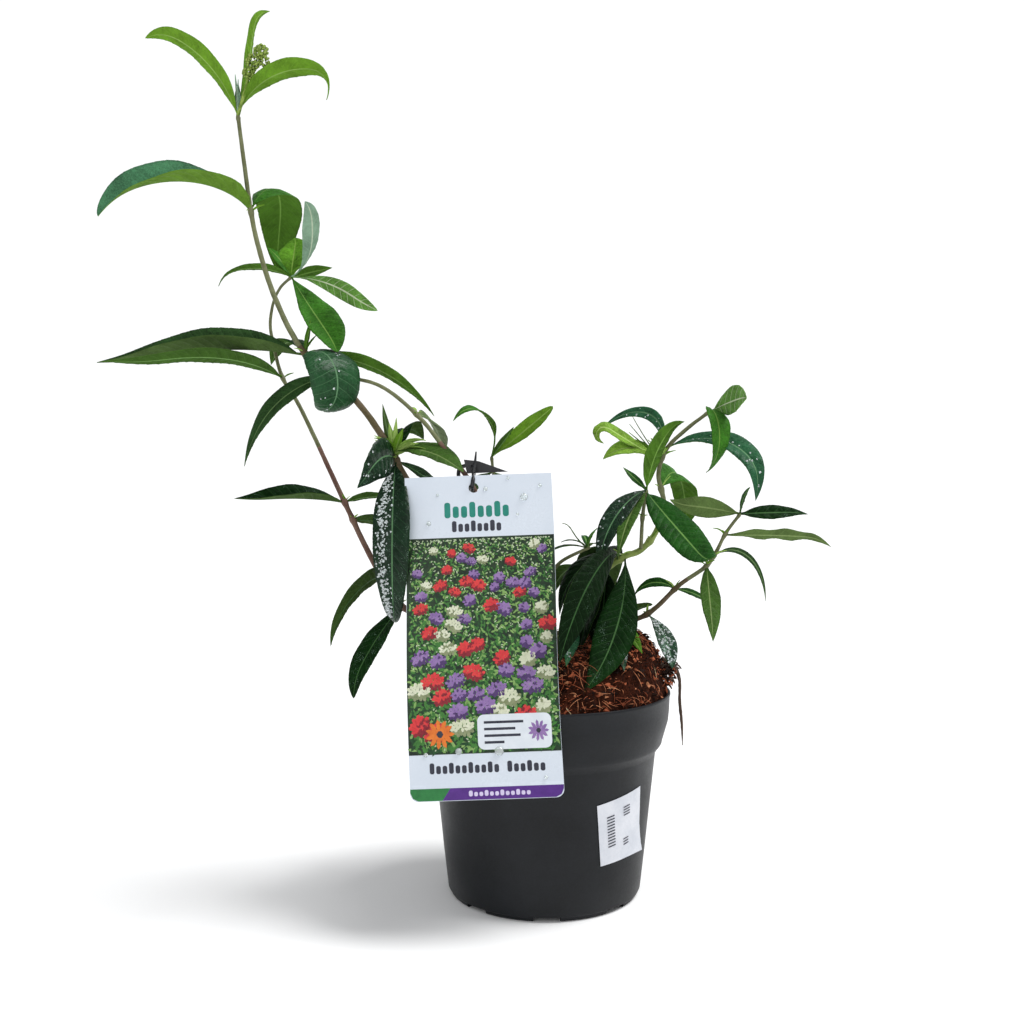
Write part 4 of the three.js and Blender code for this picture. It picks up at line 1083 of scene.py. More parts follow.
@dataclass
class Plant:
    """The stems, leaves, buds, young shoots and water drops of the bush."""

    crown_top: float
    bud_heads: tuple[Point, ...] = ((0.0, 0.0, 4.4), (5.0, 7.0, 4.2), (-3.0, -7.0, 3.4), (7.5, 0.5, 3.0))
    bud_counts: tuple[int, ...] = (60, 55, 38, 28)
    bud_radius: float = 1.15
    bud_offset: Point = (11.0, -3.0, 34.0)
    sheaths: tuple[Point, ...] = ((-160, 84, 27), (20, 86, 24), (-90, 82, 20), (90, 80, 22))
    dice: random.Random = field(default_factory=lambda: random.Random(SEED))

    def make_stems(self) -> None:
        """Builds each stem with its bark."""
        for stem in STEMS.values():
            draft = MeshDraft()
            stem.draw(draft, self.crown_top)
            settle(draft.build(f"bark_{stem.name}"), "bark", stem.name)

    def make_leaves(self) -> None:
        """Builds the leaves of each region as one piece, and the drops on the wet ones."""
        drops = MeshDraft()
        for region, masses in REGIONS.items():
            draft = MeshDraft()
            nodes = tuple(f"foliage_{mass}" for mass in masses)
            for one in LEAVES:
                if one.mass in nodes:
                    base = STEMS[one.stem].at(one.place)
                    one.draw(draft, base, self.dice)
                    self.sprinkle(drops, one, base)
            settle(draft.build(f"leaves_{region}"), "foliage", *nodes)
        settle(drops.build("water_drops"), "foliage")

    def sprinkle(self, drops: MeshDraft, one: Leaf, base: np.ndarray) -> None:
        """Scatters water drops over the upper face of a wet leaf.

        Args:
            drops: The piece to add to.
            one: The leaf.
            base: Where the leaf grows.
        """
        # Painted reflection: on some leaves the drops crowd into a band that stands in for a streak of
        # reflected light.
        band = REFLECTION_BEAD_BAND.get(one.mass)
        density = DROPS_PER_AREA.get(one.tint, 0.0) * (BAND_CROWDING if band else 1)
        for _ in range(round(one.length * one.width * density)):
            aside = self.dice.gauss(*band) if band else self.dice.uniform(-0.85, 0.85)
            place, up, width = one.surface(self.dice.uniform(0.12, 0.9), min(0.9, max(-0.9, aside)), 0.0)
            if width > 2.5:
                drop(drops, base + place + up * 0.3, up, self.dice.uniform(0.35, 0.95))

    def make_young_shoots(self) -> None:
        """Adds pairs of young leaves in the leaf axils by a seeded rule."""
        draft = MeshDraft()
        for stem in STEMS.values():
            for node in stem.nodes:
                self.tuft(draft, stem, node, 3, 4.0, 11.0)
        self.tuft(draft, STEMS["main_stem"], 0.385, 8, 12.0, 22.0)
        self.tuft(draft, STEMS["right_stem"], 0.79, 4, 8.0, 18.0)
        top = STEMS["main_stem"].at(1.0)
        for heading, rise, long in self.sheaths:
            sheath = Leaf("", "main_stem", 1.0, heading, rise, -6, long, 4.5, fold=34.0, tint=Tint.PALE)
            sheath.draw(draft, top, self.dice)
        settle(draft.build("young_leaves"), "foliage")

    def tuft(self, draft: MeshDraft, stem: Stem, place: float, count: int, short: float, long: float) -> None:
        """Adds one spray of young leaves.

        Args:
            draft: The piece to add to.
            stem: The stem that it grows on.
            place: Share of the stem's length.
            count: How many leaves.
            short: Shortest leaf in millimetres.
            long: Longest leaf in millimetres.
        """
        base = stem.at(place)
        turn = self.dice.uniform(0, 360)
        for number in range(count):
            length = self.dice.uniform(short, long)
            young = Leaf("", stem.name, place, turn + number * GOLDEN_DEGREES, self.dice.uniform(35, 75),
                         self.dice.uniform(10, 60), length, length * self.dice.uniform(0.2, 0.27),
                         self.dice.uniform(-20, 20), fold=30.0,
                         tint=self.dice.choice((Tint.YOUNG, Tint.BRIGHT)))
            young.draw(draft, base, self.dice)

    def make_buds(self) -> None:
        """Builds the cluster of flower buds in the top of the main stem."""
        foot = STEMS["main_stem"].at(1.0)
        head = foot + np.array(self.bud_offset)
        draft = MeshDraft()
        tube(draft, np.linspace(foot, head, 6), [1.3, 1.2, 1.1, 1.0, 0.9, 0.8], BUD_GREEN, sides=8)
        bead = bmesh.new()
        bmesh.ops.create_icosphere(bead, subdivisions=1, radius=1.0)
        corners = np.array([vertex.co for vertex in bead.verts])
        faces = [tuple(vertex.index for vertex in face.verts) for face in bead.faces]
        bead.free()
        for (aside, rise, radius), count in zip(self.bud_heads, self.bud_counts):
            for number in range(count):
                share = (number + 0.5) / count
                turn = number * GOLDEN_TURN
                reach = radius * 2 * math.sqrt(share * (1 - share))
                centre = head + np.array((aside + reach * math.cos(turn), reach * 0.85 * math.sin(turn),
                                          rise + radius * (2 * share - 1)))
                centre += np.array([self.dice.uniform(-0.6, 0.6) for _ in range(3)])
                size = self.bud_radius * self.dice.uniform(0.6, 1.2)
                draft.add(centre + corners * size, faces, BUD_GREEN)
        settle(draft.build("flower_buds"), "foliage")

    def make(self) -> None:
        """Builds the whole plant."""
        self.make_stems()
        self.make_leaves()
        self.make_young_shoots()
        self.make_buds()


# ------------------------------------------------------------------ pot
@dataclass
class Pot:
    """The round nursery pot with its collar, foot ring, notches and drain holes."""

    height: float = 137.0
    rim: float = 85.5
    wall: float = 2.0
    collar: float = 34.0
    body_top: float = 75.5
    body_bottom: float = 65.5
    notch_width: float = 17.0
    notch_height: float = 3.2
    notches: int = 8
    drain_radius: float = 4.5
    drain_ring: float = 40.0
    cutter: float = 24.0
    segments: int = 192

    def profile(self) -> list[tuple[float, float]]:
        """The pot's section as radius and height, from the middle of the underside out and back in."""
        step = self.height - self.collar
        under = step - 6.0
        slope = (self.body_top - self.body_bottom) / under
        return [
            (0.0, 0.0), (13.6, 0.0), (14.0, 0.4), (14.0, 3.2), (49.6, 3.2), (50.0, 2.8), (50.0, 0.3),
            (50.3, 0.0), (62.9, 0.0), (63.6, 0.3), (64.1, 1.0), (64.4, 2.5), (65.2, 3.0), (65.6, 3.8),
            (self.body_bottom + slope * 30, 30.0), (self.body_bottom + slope * 60, 60.0),
            (self.body_top - 0.05, under - 1.0), (self.body_top + 0.3, under),
            (self.body_top + 1.6, under + 2.4),
            (self.rim - 6.6, step - 1.4), (self.rim - 5.7, step), (self.rim - 5.2, step + 2.5),
            (self.rim - 3.3, step + 9.0), (self.rim - 1.5, step + 15.5), (self.rim - 0.9, step + 22.0),
            (self.rim - 0.45, self.height - 2.4), (self.rim - 0.05, self.height - 1.6),
            (self.rim - 0.05, self.height - 0.7), (self.rim - 0.5, self.height - 0.1),
            (self.rim - self.wall + 0.3, self.height), (self.rim - self.wall, self.height - 0.4),
            (self.rim - 5.5 - self.wall, step + 1.0), (self.body_top - self.wall, under),
            (self.body_bottom + slope * 7 - self.wall, 5.2), (0.0, 5.2),
        ]

    def make(self) -> None:
        """Turns the pot, cuts its notches and drain holes and dresses it."""
        outline = self.profile()
        inner = outline[1:-1]
        draft = MeshDraft()
        points = [(0.0, 0.0, outline[0][1])]
        for turn in range(self.segments):
            angle = turn / self.segments * math.tau
            points += [polar(radius, angle, height) for radius, height in inner]
        points.append((0.0, 0.0, outline[-1][1]))
        count = len(inner)
        top = len(points) - 1
        faces: list[tuple[int, ...]] = []
        for turn in range(self.segments):
            here, there = 1 + turn * count, 1 + ((turn + 1) % self.segments) * count
            faces.append((0, there, here))
            faces += [(here + row, there + row, there + row + 1, here + row + 1) for row in range(count - 1)]
            faces.append((here + count - 1, there + count - 1, top))
        draft.add(points, faces, POT_PLASTIC)
        pot = draft.build("pot_shell")
        self.cut(pot)
        sharpen(pot.data, 38.0)
        settle(pot, "pot", "pot")

    def cut(self, pot: bpy.types.Object) -> None:
        """Cuts the foot's notches and the drain holes.

        Args:
            pot: The turned pot.
        """
        form = bmesh.new()
        for number in range(self.notches):
            turn = Matrix.Rotation(number / self.notches * math.tau - math.pi / 2, 4, "Z")
            size = Matrix.Diagonal((self.cutter * MM, self.notch_width * MM, 2 * self.notch_height * MM, 1.0))
            foot = Matrix.Translation(((self.body_bottom - 4) * MM, 0, 0))
            bmesh.ops.create_cube(form, matrix=turn @ foot @ size)
            bmesh.ops.create_cone(form, cap_ends=True, segments=24, radius1=self.drain_radius * MM,
                                  radius2=self.drain_radius * MM, depth=0.02,
                                  matrix=turn @ Matrix.Translation((self.drain_ring * MM, 0, 0)))
        mesh = bpy.data.meshes.new("pot_cutters")
        form.to_mesh(mesh)
        form.free()
        cut_out(pot, place_object("pot_cutters", mesh))


def cut_out(piece: bpy.types.Object, tool: bpy.types.Object) -> None:
    """Cuts a tool out of a piece and removes the tool.

    Args:
        piece: The piece that changes.
        tool: The object that cuts.
    """
    change = piece.modifiers.new("cut", "BOOLEAN")
    change.operation = "DIFFERENCE"
    change.solver = "EXACT"
    change.object = tool
    graph = bpy.context.evaluated_depsgraph_get()
    result = bpy.data.meshes.new_from_object(piece.evaluated_get(graph))
    piece.modifiers.clear()
    piece.data = result
    bpy.data.objects.remove(tool)


# ------------------------------------------------------------------ compost
@dataclass
class Compost:
    """The heaped coir compost with its crumbs and fibres, the woody foot and the dry root over the rim."""

    pot: Pot
    hub_height: float = 165.0
    hub_radius: float = 18.0
    crest_height: float = 166.0
    crest_rise: float = 7.0
    crest_radius: float = 46.0
    crest_shift: float = 12.0
    rings: int = 100
    spokes: int = 320
    fibres: int = 2600
    straws: int = 40
    crumbs: int = 5200
    lumps: tuple[tuple[float, float], ...] = ((2.6, 0.07), (2.8, 0.17), (2.4, 0.36), (1.2, 0.9))
    dark_patch_from: float = 0.1
    dark_patch_share: float = 0.8
    level_share: float = 0.55
    crown_radius: float = 15.6
    crown_taper: float = 3.0
    floor: float = 7.0
    root_path: tuple[Point, ...] = ((80, 1, 158), (86, 0, 153), (91.5, -1, 146), (92.5, -1, 128),
                                    (94, -1, 112), (94.5, -1, 98))
    root_hairs: int = 90
    dice: random.Random = field(default_factory=lambda: random.Random(SEED + 1))

    @property
    def edge(self) -> float:
        """Radius where the compost meets the pot's wall."""
        return self.pot.rim - self.pot.wall - 0.4

    def height(self, radius: float, angle: float) -> float:
        """Height of the heap, which stands fullest on the right.

        Args:
            radius: Distance from the pot's axis, millimetres.
            angle: Turn round the axis, radians.

        Returns:
            The height in millimetres.
        """
        right = max(0.0, math.cos(angle))
        crest = self.crest_radius + self.crest_shift * math.cos(angle)
        top = self.crest_height + self.crest_rise * right ** 1.5
        if radius <= crest:
            return self.hub_height + (top - self.hub_height) * float(ramp(radius, self.hub_radius, crest))
        fall = (radius - crest) / (self.edge - crest)
        return top + (self.pot.height - 3.0 - top) * fall ** (1.3 + 1.9 * right)

    def surface(self, radius: float, angle: float) -> tuple[np.ndarray, np.ndarray]:
        """Point and outward direction of the lumpy surface.

        Args:
            radius: Distance from the pot's axis, millimetres.
            angle: Turn round the axis, radians.

        Returns:
            The point and the direction.
        """
        radius = min(radius, self.edge)
        step = 0.8
        low, high = (self.height(max(reach, 0.0), angle)
                     for reach in (radius - step, min(radius + step, self.edge)))
        slope = (high - low) / (2 * step)
        out = unit(np.array(polar(-slope, angle, 1.0)))
        point = np.array(polar(radius, angle, self.height(radius, angle)))
        spot = Vector(point)
        rough = sum(height * noise.noise(spot * scale) for height, scale in self.lumps)
        calm = float(ramp(radius, self.hub_radius - 4.0, self.hub_radius + 10.0))
        inner = 1.0 - float(ramp(radius, self.edge - 7.0, self.edge))
        point = point + out * (rough * calm * (0.25 + 0.75 * inner) - 1.2 * (1 - inner))
        reach = math.hypot(point[0], point[1])
        if reach > self.edge and point[2] < self.pot.height + 2.0:
            point[:2] *= self.edge / reach
        return point, out

    def toned(self, place: np.ndarray, finish: Finish) -> Finish:
        """The finish of a loose piece, mostly the dark fibre finish where a large noise runs high, in patches.

        Args:
            place: Where the piece lies.
            finish: Its finish on a dry patch.

        Returns:
            The finish to use.
        """
        dark_patch = noise.noise(Vector(place) * 0.085) + 0.5 * noise.noise(Vector(place) * 0.24)
        return FIBRE_DARK if dark_patch > self.dark_patch_from and self.dice.random() < self.dark_patch_share else finish

    def scattered(self) -> tuple[float, float]:
        """A random radius and angle on the heap, spread over its slope too."""
        angle = self.dice.uniform(0, math.tau)
        if self.dice.random() < self.level_share:
            return self.edge * math.sqrt(self.dice.uniform(0.05, 1.0)), angle
        return self.dice.uniform(self.crest_radius, self.edge), angle

    def make_ground(self, draft: MeshDraft) -> None:
        """Adds the closed block of compost.

        Args:
            draft: The piece to add to.
        """
        pot, gap = self.pot, 0.6
        step = pot.height - pot.collar
        wall = ((pot.rim - 5.5 - pot.wall - gap, step + 2.0), (pot.body_top - pot.wall - gap, step - 5.0),
                (pot.body_bottom - pot.wall - gap, self.floor))
        turns = [spoke / self.spokes * math.tau for spoke in range(self.spokes)]
        points: list[Sequence[float]] = [self.surface(0.0, 0.0)[0]]
        for ring in range(1, self.rings + 1):
            radius = self.edge * (ring / self.rings) ** 0.72
            points += [self.surface(radius, angle)[0] for angle in turns]
        for radius, height in wall:
            points += [polar(radius, angle, height) for angle in turns]
        points.append((0.0, 0.0, self.floor))
        faces: list[tuple[int, ...]] = []
        rows = self.rings + len(wall)
        for spoke in range(self.spokes):
            after = (spoke + 1) % self.spokes
            faces.append((0, 1 + spoke, 1 + after))
            for row in range(rows - 1):
                a, b = 1 + row * self.spokes + spoke, 1 + row * self.spokes + after
                faces.append((a, a + self.spokes, b + self.spokes, b))
            last = 1 + (rows - 1) * self.spokes
            faces.append((last + after, last + spoke, len(points) - 1))
        draft.add(points, faces, COIR)

    def strand(self, draft: MeshDraft, length: float, thick: float, finish: Finish, lift: float) -> None:
        """Adds one loose fibre lying on the compost.

        Args:
            draft: The piece to add to.
            length: Its length in millimetres.
            thick: Its thickness in millimetres.
            finish: Its finish.
            lift: How far its middle stands off the surface.
        """
        place, out = self.surface(*self.scattered())
        heading = unit(np.cross(out, [self.dice.uniform(-1, 1) for _ in range(3)]))
        aside = np.cross(out, heading)
        bend = self.dice.uniform(-1.1, 1.1)
        steps = 5
        places = [place]
        for step in range(1, steps + 1):
            turn = bend * step / steps
            places.append(places[-1] + length / steps * (math.cos(turn) * heading + math.sin(turn) * aside))
        places = [spot + out * (lift * math.sin(math.pi * step / steps) + 0.1)
                  for step, spot in enumerate(places)]
        for spot in places:
            reach = math.hypot(spot[0], spot[1])
            limit = self.edge - 0.5 if spot[2] < self.pot.height + 1.0 else self.pot.rim + 3.0
            if reach > limit:
                spot[:2] *= limit / reach
        radii = [thick / 2 * (0.45 + 0.55 * math.sin(math.pi * (0.1 + 0.8 * step / steps)))
                 for step in range(steps + 1)]
        tube(draft, np.array(places), radii, self.toned(place, finish), sides=4)

    def crumb(self, draft: MeshDraft, size: float, finish: Finish) -> None:
        """Adds one small uneven crumb.

        Args:
            draft: The piece to add to.
            size: Its greatest radius in millimetres.
            finish: Its finish.
        """
        place, out = self.surface(*self.scattered())
        heading = Vector(self.dice.uniform(-1, 1) for _ in range(3)).normalized()
        turn = heading.to_track_quat("Z", "Y").to_matrix()
        corners = ((1, 0, 0), (-1, 0, 0), (0, 1, 0), (0, -1, 0), (0, 0, 1), (0, 0, -1))
        shape = (size, size * self.dice.uniform(0.25, 0.7), size * self.dice.uniform(0.2, 0.5))
        points = [Vector(place + out * 0.2) + turn @ Vector(side * reach * self.dice.uniform(0.7, 1.1)
                                                            for side, reach in zip(corner, shape))
                  for corner in corners]
        faces = [(0, 2, 4), (2, 1, 4), (1, 3, 4), (3, 0, 4), (2, 0, 5), (1, 2, 5), (3, 1, 5), (0, 3, 5)]
        draft.add(points, faces, finish)

    def make_loose(self) -> None:
        """Builds the crumbs, fibres and straws that lie on the heap."""
        crumbs = MeshDraft()
        for _ in range(self.crumbs):
            finish = self.dice.choices(FIBRES, CRUMB_MIX)[0]
            self.crumb(crumbs, 0.7 + 3.0 * self.dice.random() ** 3, finish)
        settle(crumbs.build("compost_crumbs", smooth=False), "compost")
        fibres = MeshDraft()
        for _ in range(self.fibres):
            finish = self.dice.choices(FIBRES, FIBRE_MIX)[0]
            self.strand(fibres, self.dice.uniform(3, 14), self.dice.uniform(0.22, 0.5), finish,
                        self.dice.uniform(0.2, 2.2))
        for _ in range(self.straws):
            self.strand(fibres, self.dice.uniform(8, 20), self.dice.uniform(0.4, 0.7), STRAW,
                        self.dice.uniform(0.4, 1.5))
        settle(fibres.build("compost_fibres"), "compost")

    def make_crown(self) -> None:
        """Builds the woody foot of the plant."""
        low, high = (corner.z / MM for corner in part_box("crown"))
        draft = MeshDraft()
        spokes, rings = 48, 10
        points = []
        for row in range(rings + 1):
            share = row / rings
            for spoke in range(spokes):
                angle = spoke / spokes * math.tau
                spot = Vector(polar(2.0, angle, share * 3))
                radius = self.crown_radius - self.crown_taper * share ** 0.7
                radius *= 1.0 + 0.08 * noise.noise(spot)
                points.append(polar(radius, angle, low + (high - low) * share))
        points += [(0.0, 0.0, low), (0.0, 0.0, high)]
        faces = ring_faces(rings, spokes)
        faces += [((s + 1) % spokes, s, len(points) - 2) for s in range(spokes)]
        last = rings * spokes
        faces += [(last + s, last + (s + 1) % spokes, len(points) - 1) for s in range(spokes)]
        draft.add(points, faces, BARK_DARK)
        settle(draft.build("woody_foot", crease=50.0), "bark", "crown")

    def make_root(self) -> None:
        """Builds the dry root that hangs over the rim, with a knot where it leaves the compost."""
        draft = MeshDraft()
        path = smooth_path(self.root_path, 10)
        shares = np.linspace(0, 1, len(path))
        radii = 1.5 + 0.6 * np.sin(9 * shares) * (1 - shares) - 1.3 * shares ** 3
        tube(draft, path, np.maximum(radii, 0.3).tolist(), BARK_DARK, sides=9,
             shape=lambda turn, along: 1.0 + 0.3 * noise.noise(Vector(polar(1.0, turn, along * 0.3))))
        for _ in range(self.root_hairs):
            start = np.array([self.dice.uniform(*span) for span in ((78, 87), (-14, 10), (139, 156))])
            reach = np.array([self.dice.uniform(*span) for span in ((1, 6), (-6, 6), (-5, 3))])
            middle = start + reach / 2 + np.array((0, 0, 1.5))
            tube(draft, smooth_path((start, middle, start + reach), 4), [0.8] * 4 + [0.6] * 4 + [0.3],
                 self.dice.choice((BARK_DARK, FIBRE_DARK, FIBRE_RED)), sides=5)
        settle(draft.build("root_over_rim"), "bark", "dry_root")

    def make(self) -> None:
        """Builds the compost, the woody foot and the dry root."""
        ground = MeshDraft()
        self.make_ground(ground)
        settle(ground.build("compost_ground"), "compost", "compost")
        self.make_loose()
        self.make_crown()
        self.make_root()


# ------------------------------------------------------------------ label, tie and sticker
INK_TEAL = print_ink("ink_teal", (30, 128, 112), (24, 116, 102))
INK_CHARCOAL = print_ink("ink_charcoal", (52, 54, 66), (44, 46, 58))
INK_GREEN = print_ink("ink_green", (44, 120, 62), (36, 104, 54))
INK_PURPLE = print_ink("ink_purple", (84, 44, 128), (74, 38, 116))
INK_LILAC = print_ink("ink_lilac", (206, 196, 224), (196, 186, 216))
INK_FIELD = print_ink("ink_field", (36, 62, 34), (12, 26, 16))
INK_SPARK = print_ink("ink_spark", (196, 208, 178), (160, 180, 140))
INK_LEAVES = (print_ink("ink_leaf_dark", (30, 76, 36), (18, 50, 26)),
              print_ink("ink_leaf_mid", (66, 126, 50), (48, 98, 42)),
              print_ink("ink_leaf_light", (134, 168, 96), (104, 146, 76)))
INK_BLOOMS = ((print_ink("ink_red", (214, 62, 60), (190, 44, 52)),
               print_ink("ink_red_dark", (140, 30, 44), (112, 26, 38))),
              (print_ink("ink_violet", (150, 122, 172), (122, 92, 150)),
               print_ink("ink_violet_dark", (84, 58, 112), (62, 42, 86))),
              (print_ink("ink_cream", (216, 218, 196), (190, 196, 166)),
               print_ink("ink_cream_dark", (140, 148, 112), (112, 122, 86))))
INK_ORANGE = print_ink("ink_orange", (222, 124, 44), (196, 96, 34))
INK_WHITE = print_ink("ink_white", (214, 220, 226), (206, 213, 220))


HOLE_SIDES = 24


def quarter(x: float, y: float, radius: float, start: float, steps: int) -> list[tuple[float, float]]:
    """Points of a quarter turn, as across and drop.

    Args:
        x: The centre's place across.
        y: The centre's drop.
        radius: The radius.
        start: Where the turn starts, degrees.
        steps: How many parts the turn has.

    Returns:
        The points, from the start of the turn to its end.
    """
    turns = [math.radians(start + 90 / steps * step) for step in range(steps + 1)]
    return [(x + radius * math.cos(turn), y - radius * math.sin(turn)) for turn in turns]


def beside(x: float, y: float, angle: float, across: float, drop: float) -> tuple[float, float]:
    """A place x right of and y above a point of the card, turned by an angle, as across and drop."""
    return (across + x * math.cos(angle) - y * math.sin(angle),
            drop - x * math.sin(angle) - y * math.cos(angle))


def slice_flat(form: bmesh.types.BMesh, low: Sequence[float], high: Sequence[float],
               cells: Sequence[int]) -> None:
    """Cuts a flat patch into cells, so that it can follow a bow.

    Args:
        form: The patch, whose X is the place across and whose Y is the drop, turned negative.
        low: The least place across and drop.
        high: The greatest place across and drop.
        cells: How many cells across and down.
    """
    for axis, sign in ((0, 1), (1, -1)):
        for cut in range(1, cells[axis]):
            point, normal = [0.0] * 3, [0.0] * 3
            point[axis] = sign * (low[axis] + (high[axis] - low[axis]) * cut / cells[axis])
            normal[axis] = 1.0
            bmesh.ops.bisect_plane(form, geom=form.verts[:] + form.edges[:] + form.faces[:], plane_co=point,
                                   plane_no=normal)


def front_faces(form: bmesh.types.BMesh) -> list[tuple[int, ...]]:
    """Corner numbers of a flat patch's faces, all turned to the front."""
    form.normal_update()
    form.verts.index_update()
    return [tuple(v.index for v in (reversed(face.verts[:]) if face.normal.z < 0 else face.verts))
            for face in form.faces]


@dataclass
class Label:
    """The hanging plant label: a thin bowed card with a generic printed garden."""

    width: float = 93.0
    length: float = 200.0
    thick: float = 0.6
    corner: float = 5.0
    hole: float = 3.2
    hole_drop: float = 8.0
    hole_offset: float = -3.0
    top: Point = (-44.0, -52.0, 283.0)
    foot: Point = (-37.0, -98.5, 88.5)
    picture: tuple[float, float] = (39.5, 172.5)
    strip: float = 192.5
    bow: float = 1.2
    blooms: int = 96
    florets: int = 34
    sprigs: int = 4200
    sparks: int = 700
    bars: tuple[tuple[float, float, float, float, int, Finish], ...] = (
        (-22.0, 20.0, 17.0, 27.0, 8, INK_TEAL), (-17.5, 14.5, 29.0, 36.0, 8, INK_CHARCOAL),
        (-34.0, 9.0, 177.5, 184.0, 11, INK_CHARCOAL), (13.0, 37.0, 177.5, 184.0, 6, INK_CHARCOAL))
    lines: tuple[Point, ...] = ((0.0, 24.0, 19.0), (0.0, 19.0, 15.0), (0.0, 22.0, 11.0), (0.0, 12.0, 7.0))
    beads: tuple[Point, ...] = ((19.0, 2.5, 1.2), (28.5, 15.0, 2.6), (4.5, 9.0, 1.5), (-32.0, 30.0, 1.6),
                                (24.0, 26.0, 1.0), (-16.0, 171.0, 2.2), (8.5, 171.5, 3.0), (-36.0, 172.5, 1.4),
                                (36.0, 188.0, 1.2), (-26.0, 12.0, 1.0), (39.0, 8.0, 1.3))
    dice: random.Random = field(default_factory=lambda: random.Random(SEED + 2))

    def axes(self) -> tuple[np.ndarray, np.ndarray, np.ndarray, np.ndarray]:
        """The card's middle and its right, up and front directions."""
        top, foot = np.array(self.top), np.array(self.foot)
        up = unit(top - foot)
        right = np.array((1.0, 0.0, 0.07))
        right = unit(right - up * float(right @ up))
        return (top + foot) / 2, right, up, np.cross(right, up)

    def spot(self, across: float, drop: float, lift: float) -> np.ndarray:
        """A place on the card.

        Args:
            across: Distance right of its middle line, millimetres.
            drop: Distance below its top edge, millimetres.
            lift: Distance in front of its middle surface, millimetres.

        Returns:
            The place in the frame.
        """
        middle, right, up, front = self.axes()
        share = drop / self.length - 0.5
        bowed = self.bow * (math.cos(math.pi * across / self.width) - 0.64)
        bowed += 0.9 * math.sin(3.1 * share + 0.4)
        sway = 1.3 * math.sin(math.tau * (share + 0.08))
        place = middle + right * (across - sway * 0.5) + up * (self.length / 2 - drop)
        return place + front * (bowed * 0.35 + lift)

    def panel(self, draft: MeshDraft, outline: Sequence[tuple[float, float]], lift: float, finish: Finish,
              grid: float = 4.0) -> None:
        """Adds a flat printed patch that follows the card's bow.

        Args:
            draft: The piece to add to.
            outline: Corners as across and drop, in order.
            lift: Height of the ink over the card's middle surface.
            finish: The ink.
            grid: Greatest size of a face.
        """
        form = bmesh.new()
        corners = [form.verts.new((across, -drop, 0.0)) for across, drop in outline]
        form.faces.new(corners)
        low, high = np.min(outline, axis=0), np.max(outline, axis=0)
        slice_flat(form, low, high, [int(span / grid) + 1 for span in high - low])
        faces = front_faces(form)
        points = [self.spot(vertex.co.x, -vertex.co.y, lift) for vertex in form.verts]
        form.free()
        draft.add(points, faces, finish)

    def rectangle(self, left: float, right: float, top: float, bottom: float,
                  corner: float = 0.0) -> list[tuple[float, float]]:
        """Corners of a rectangle with rounded corners, as across and drop."""
        if corner <= 0:
            return [(left, top), (left, bottom), (right, bottom), (right, top)]
        outline = []
        for x, y, start in ((left + corner, bottom - corner, 180), (right - corner, bottom - corner, 270),
                            (right - corner, top + corner, 0), (left + corner, top + corner, 90)):
            outline += quarter(x, y, corner, start, 5)
        return outline

    def make_card(self) -> None:
        """Builds the card with its hole and rounded lower corners."""
        half = self.width / 2
        outline = [(-half, 0.0)]
        for x, start in ((-half + self.corner, 180), (half - self.corner, 270)):
            outline += quarter(x, self.length - self.corner, self.corner, start, 6)
        outline.append((half, 0.0))
        hole = [(self.hole_offset + self.hole * math.cos(turn), self.hole_drop - self.hole * math.sin(turn))
                for turn in (math.tau * k / HOLE_SIDES for k in range(HOLE_SIDES))]
        form = bmesh.new()
        edges = []
        for loop in (outline, hole):
            ring = [form.verts.new((across, -drop, 0.0)) for across, drop in loop]
            edges += [form.edges.new((ring[k], ring[(k + 1) % len(ring)])) for k in range(len(ring))]
        bmesh.ops.triangle_fill(form, edges=edges, use_beauty=True)
        slice_flat(form, (-half, 0.0), (half, self.length), (int(self.width / 5.0), int(self.length / 5.0)))
        front = front_faces(form)
        count = len(form.verts)
        back = [tuple(corner + count for corner in reversed(face)) for face in front]
        rim = []
        for edge in form.edges:
            if edge.is_boundary:
                face = edge.link_faces[0]
                corners = [v.index for v in face.verts]
                if face.normal.z < 0:
                    corners.reverse()
                a, b = (v.index for v in edge.verts)
                if corners[(corners.index(a) + 1) % len(corners)] != b:
                    a, b = b, a
                rim.append((b, a, a + count, b + count))
        points = [self.spot(v.co.x, -v.co.y, side * self.thick / 2) for side in (1, -1) for v in form.verts]
        form.free()
        draft = MeshDraft()
        draft.add(points, front + back + rim, CARD)
        settle(draft.build("label_card", crease=60.0), "label", "label")

    def make_print(self) -> None:
        """Builds the printed patches: plain bars, the garden picture and the coloured strip."""
        ink = self.thick / 2 + 0.05
        half = self.width / 2
        draft = MeshDraft()
        for left, right, top, bottom, count, finish in self.bars:
            self.broken_bar(draft, left, right, top, bottom, count, ink, finish)
        first, last = self.picture
        self.panel(draft, self.rectangle(-half + 0.2, half - 0.2, first, last), ink, INK_FIELD)
        low, slope, corner, split = self.length - 0.3, 5.0, self.corner, -27.0
        self.panel(draft, [(-half + 0.2, self.strip), (-half + 0.2, low - corner), (-half + 1.8, low - 1.6),
                           (-half + corner, low), (split, low), (split + slope, self.strip)], ink, INK_GREEN)
        self.panel(draft, [(split + slope, self.strip), (split, low), (half - corner, low),
                           (half - 1.8, low - 1.6), (half - 0.2, low - corner), (half - 0.2, self.strip)], ink,
                   INK_PURPLE)
        self.broken_bar(draft, -11.0, 27.0, self.strip + 1.8, self.strip + 5.2, 12, ink + 0.05, INK_LILAC)
        self.make_garden(draft, ink + 0.05)
        settle(draft.build("label_print"), "label")

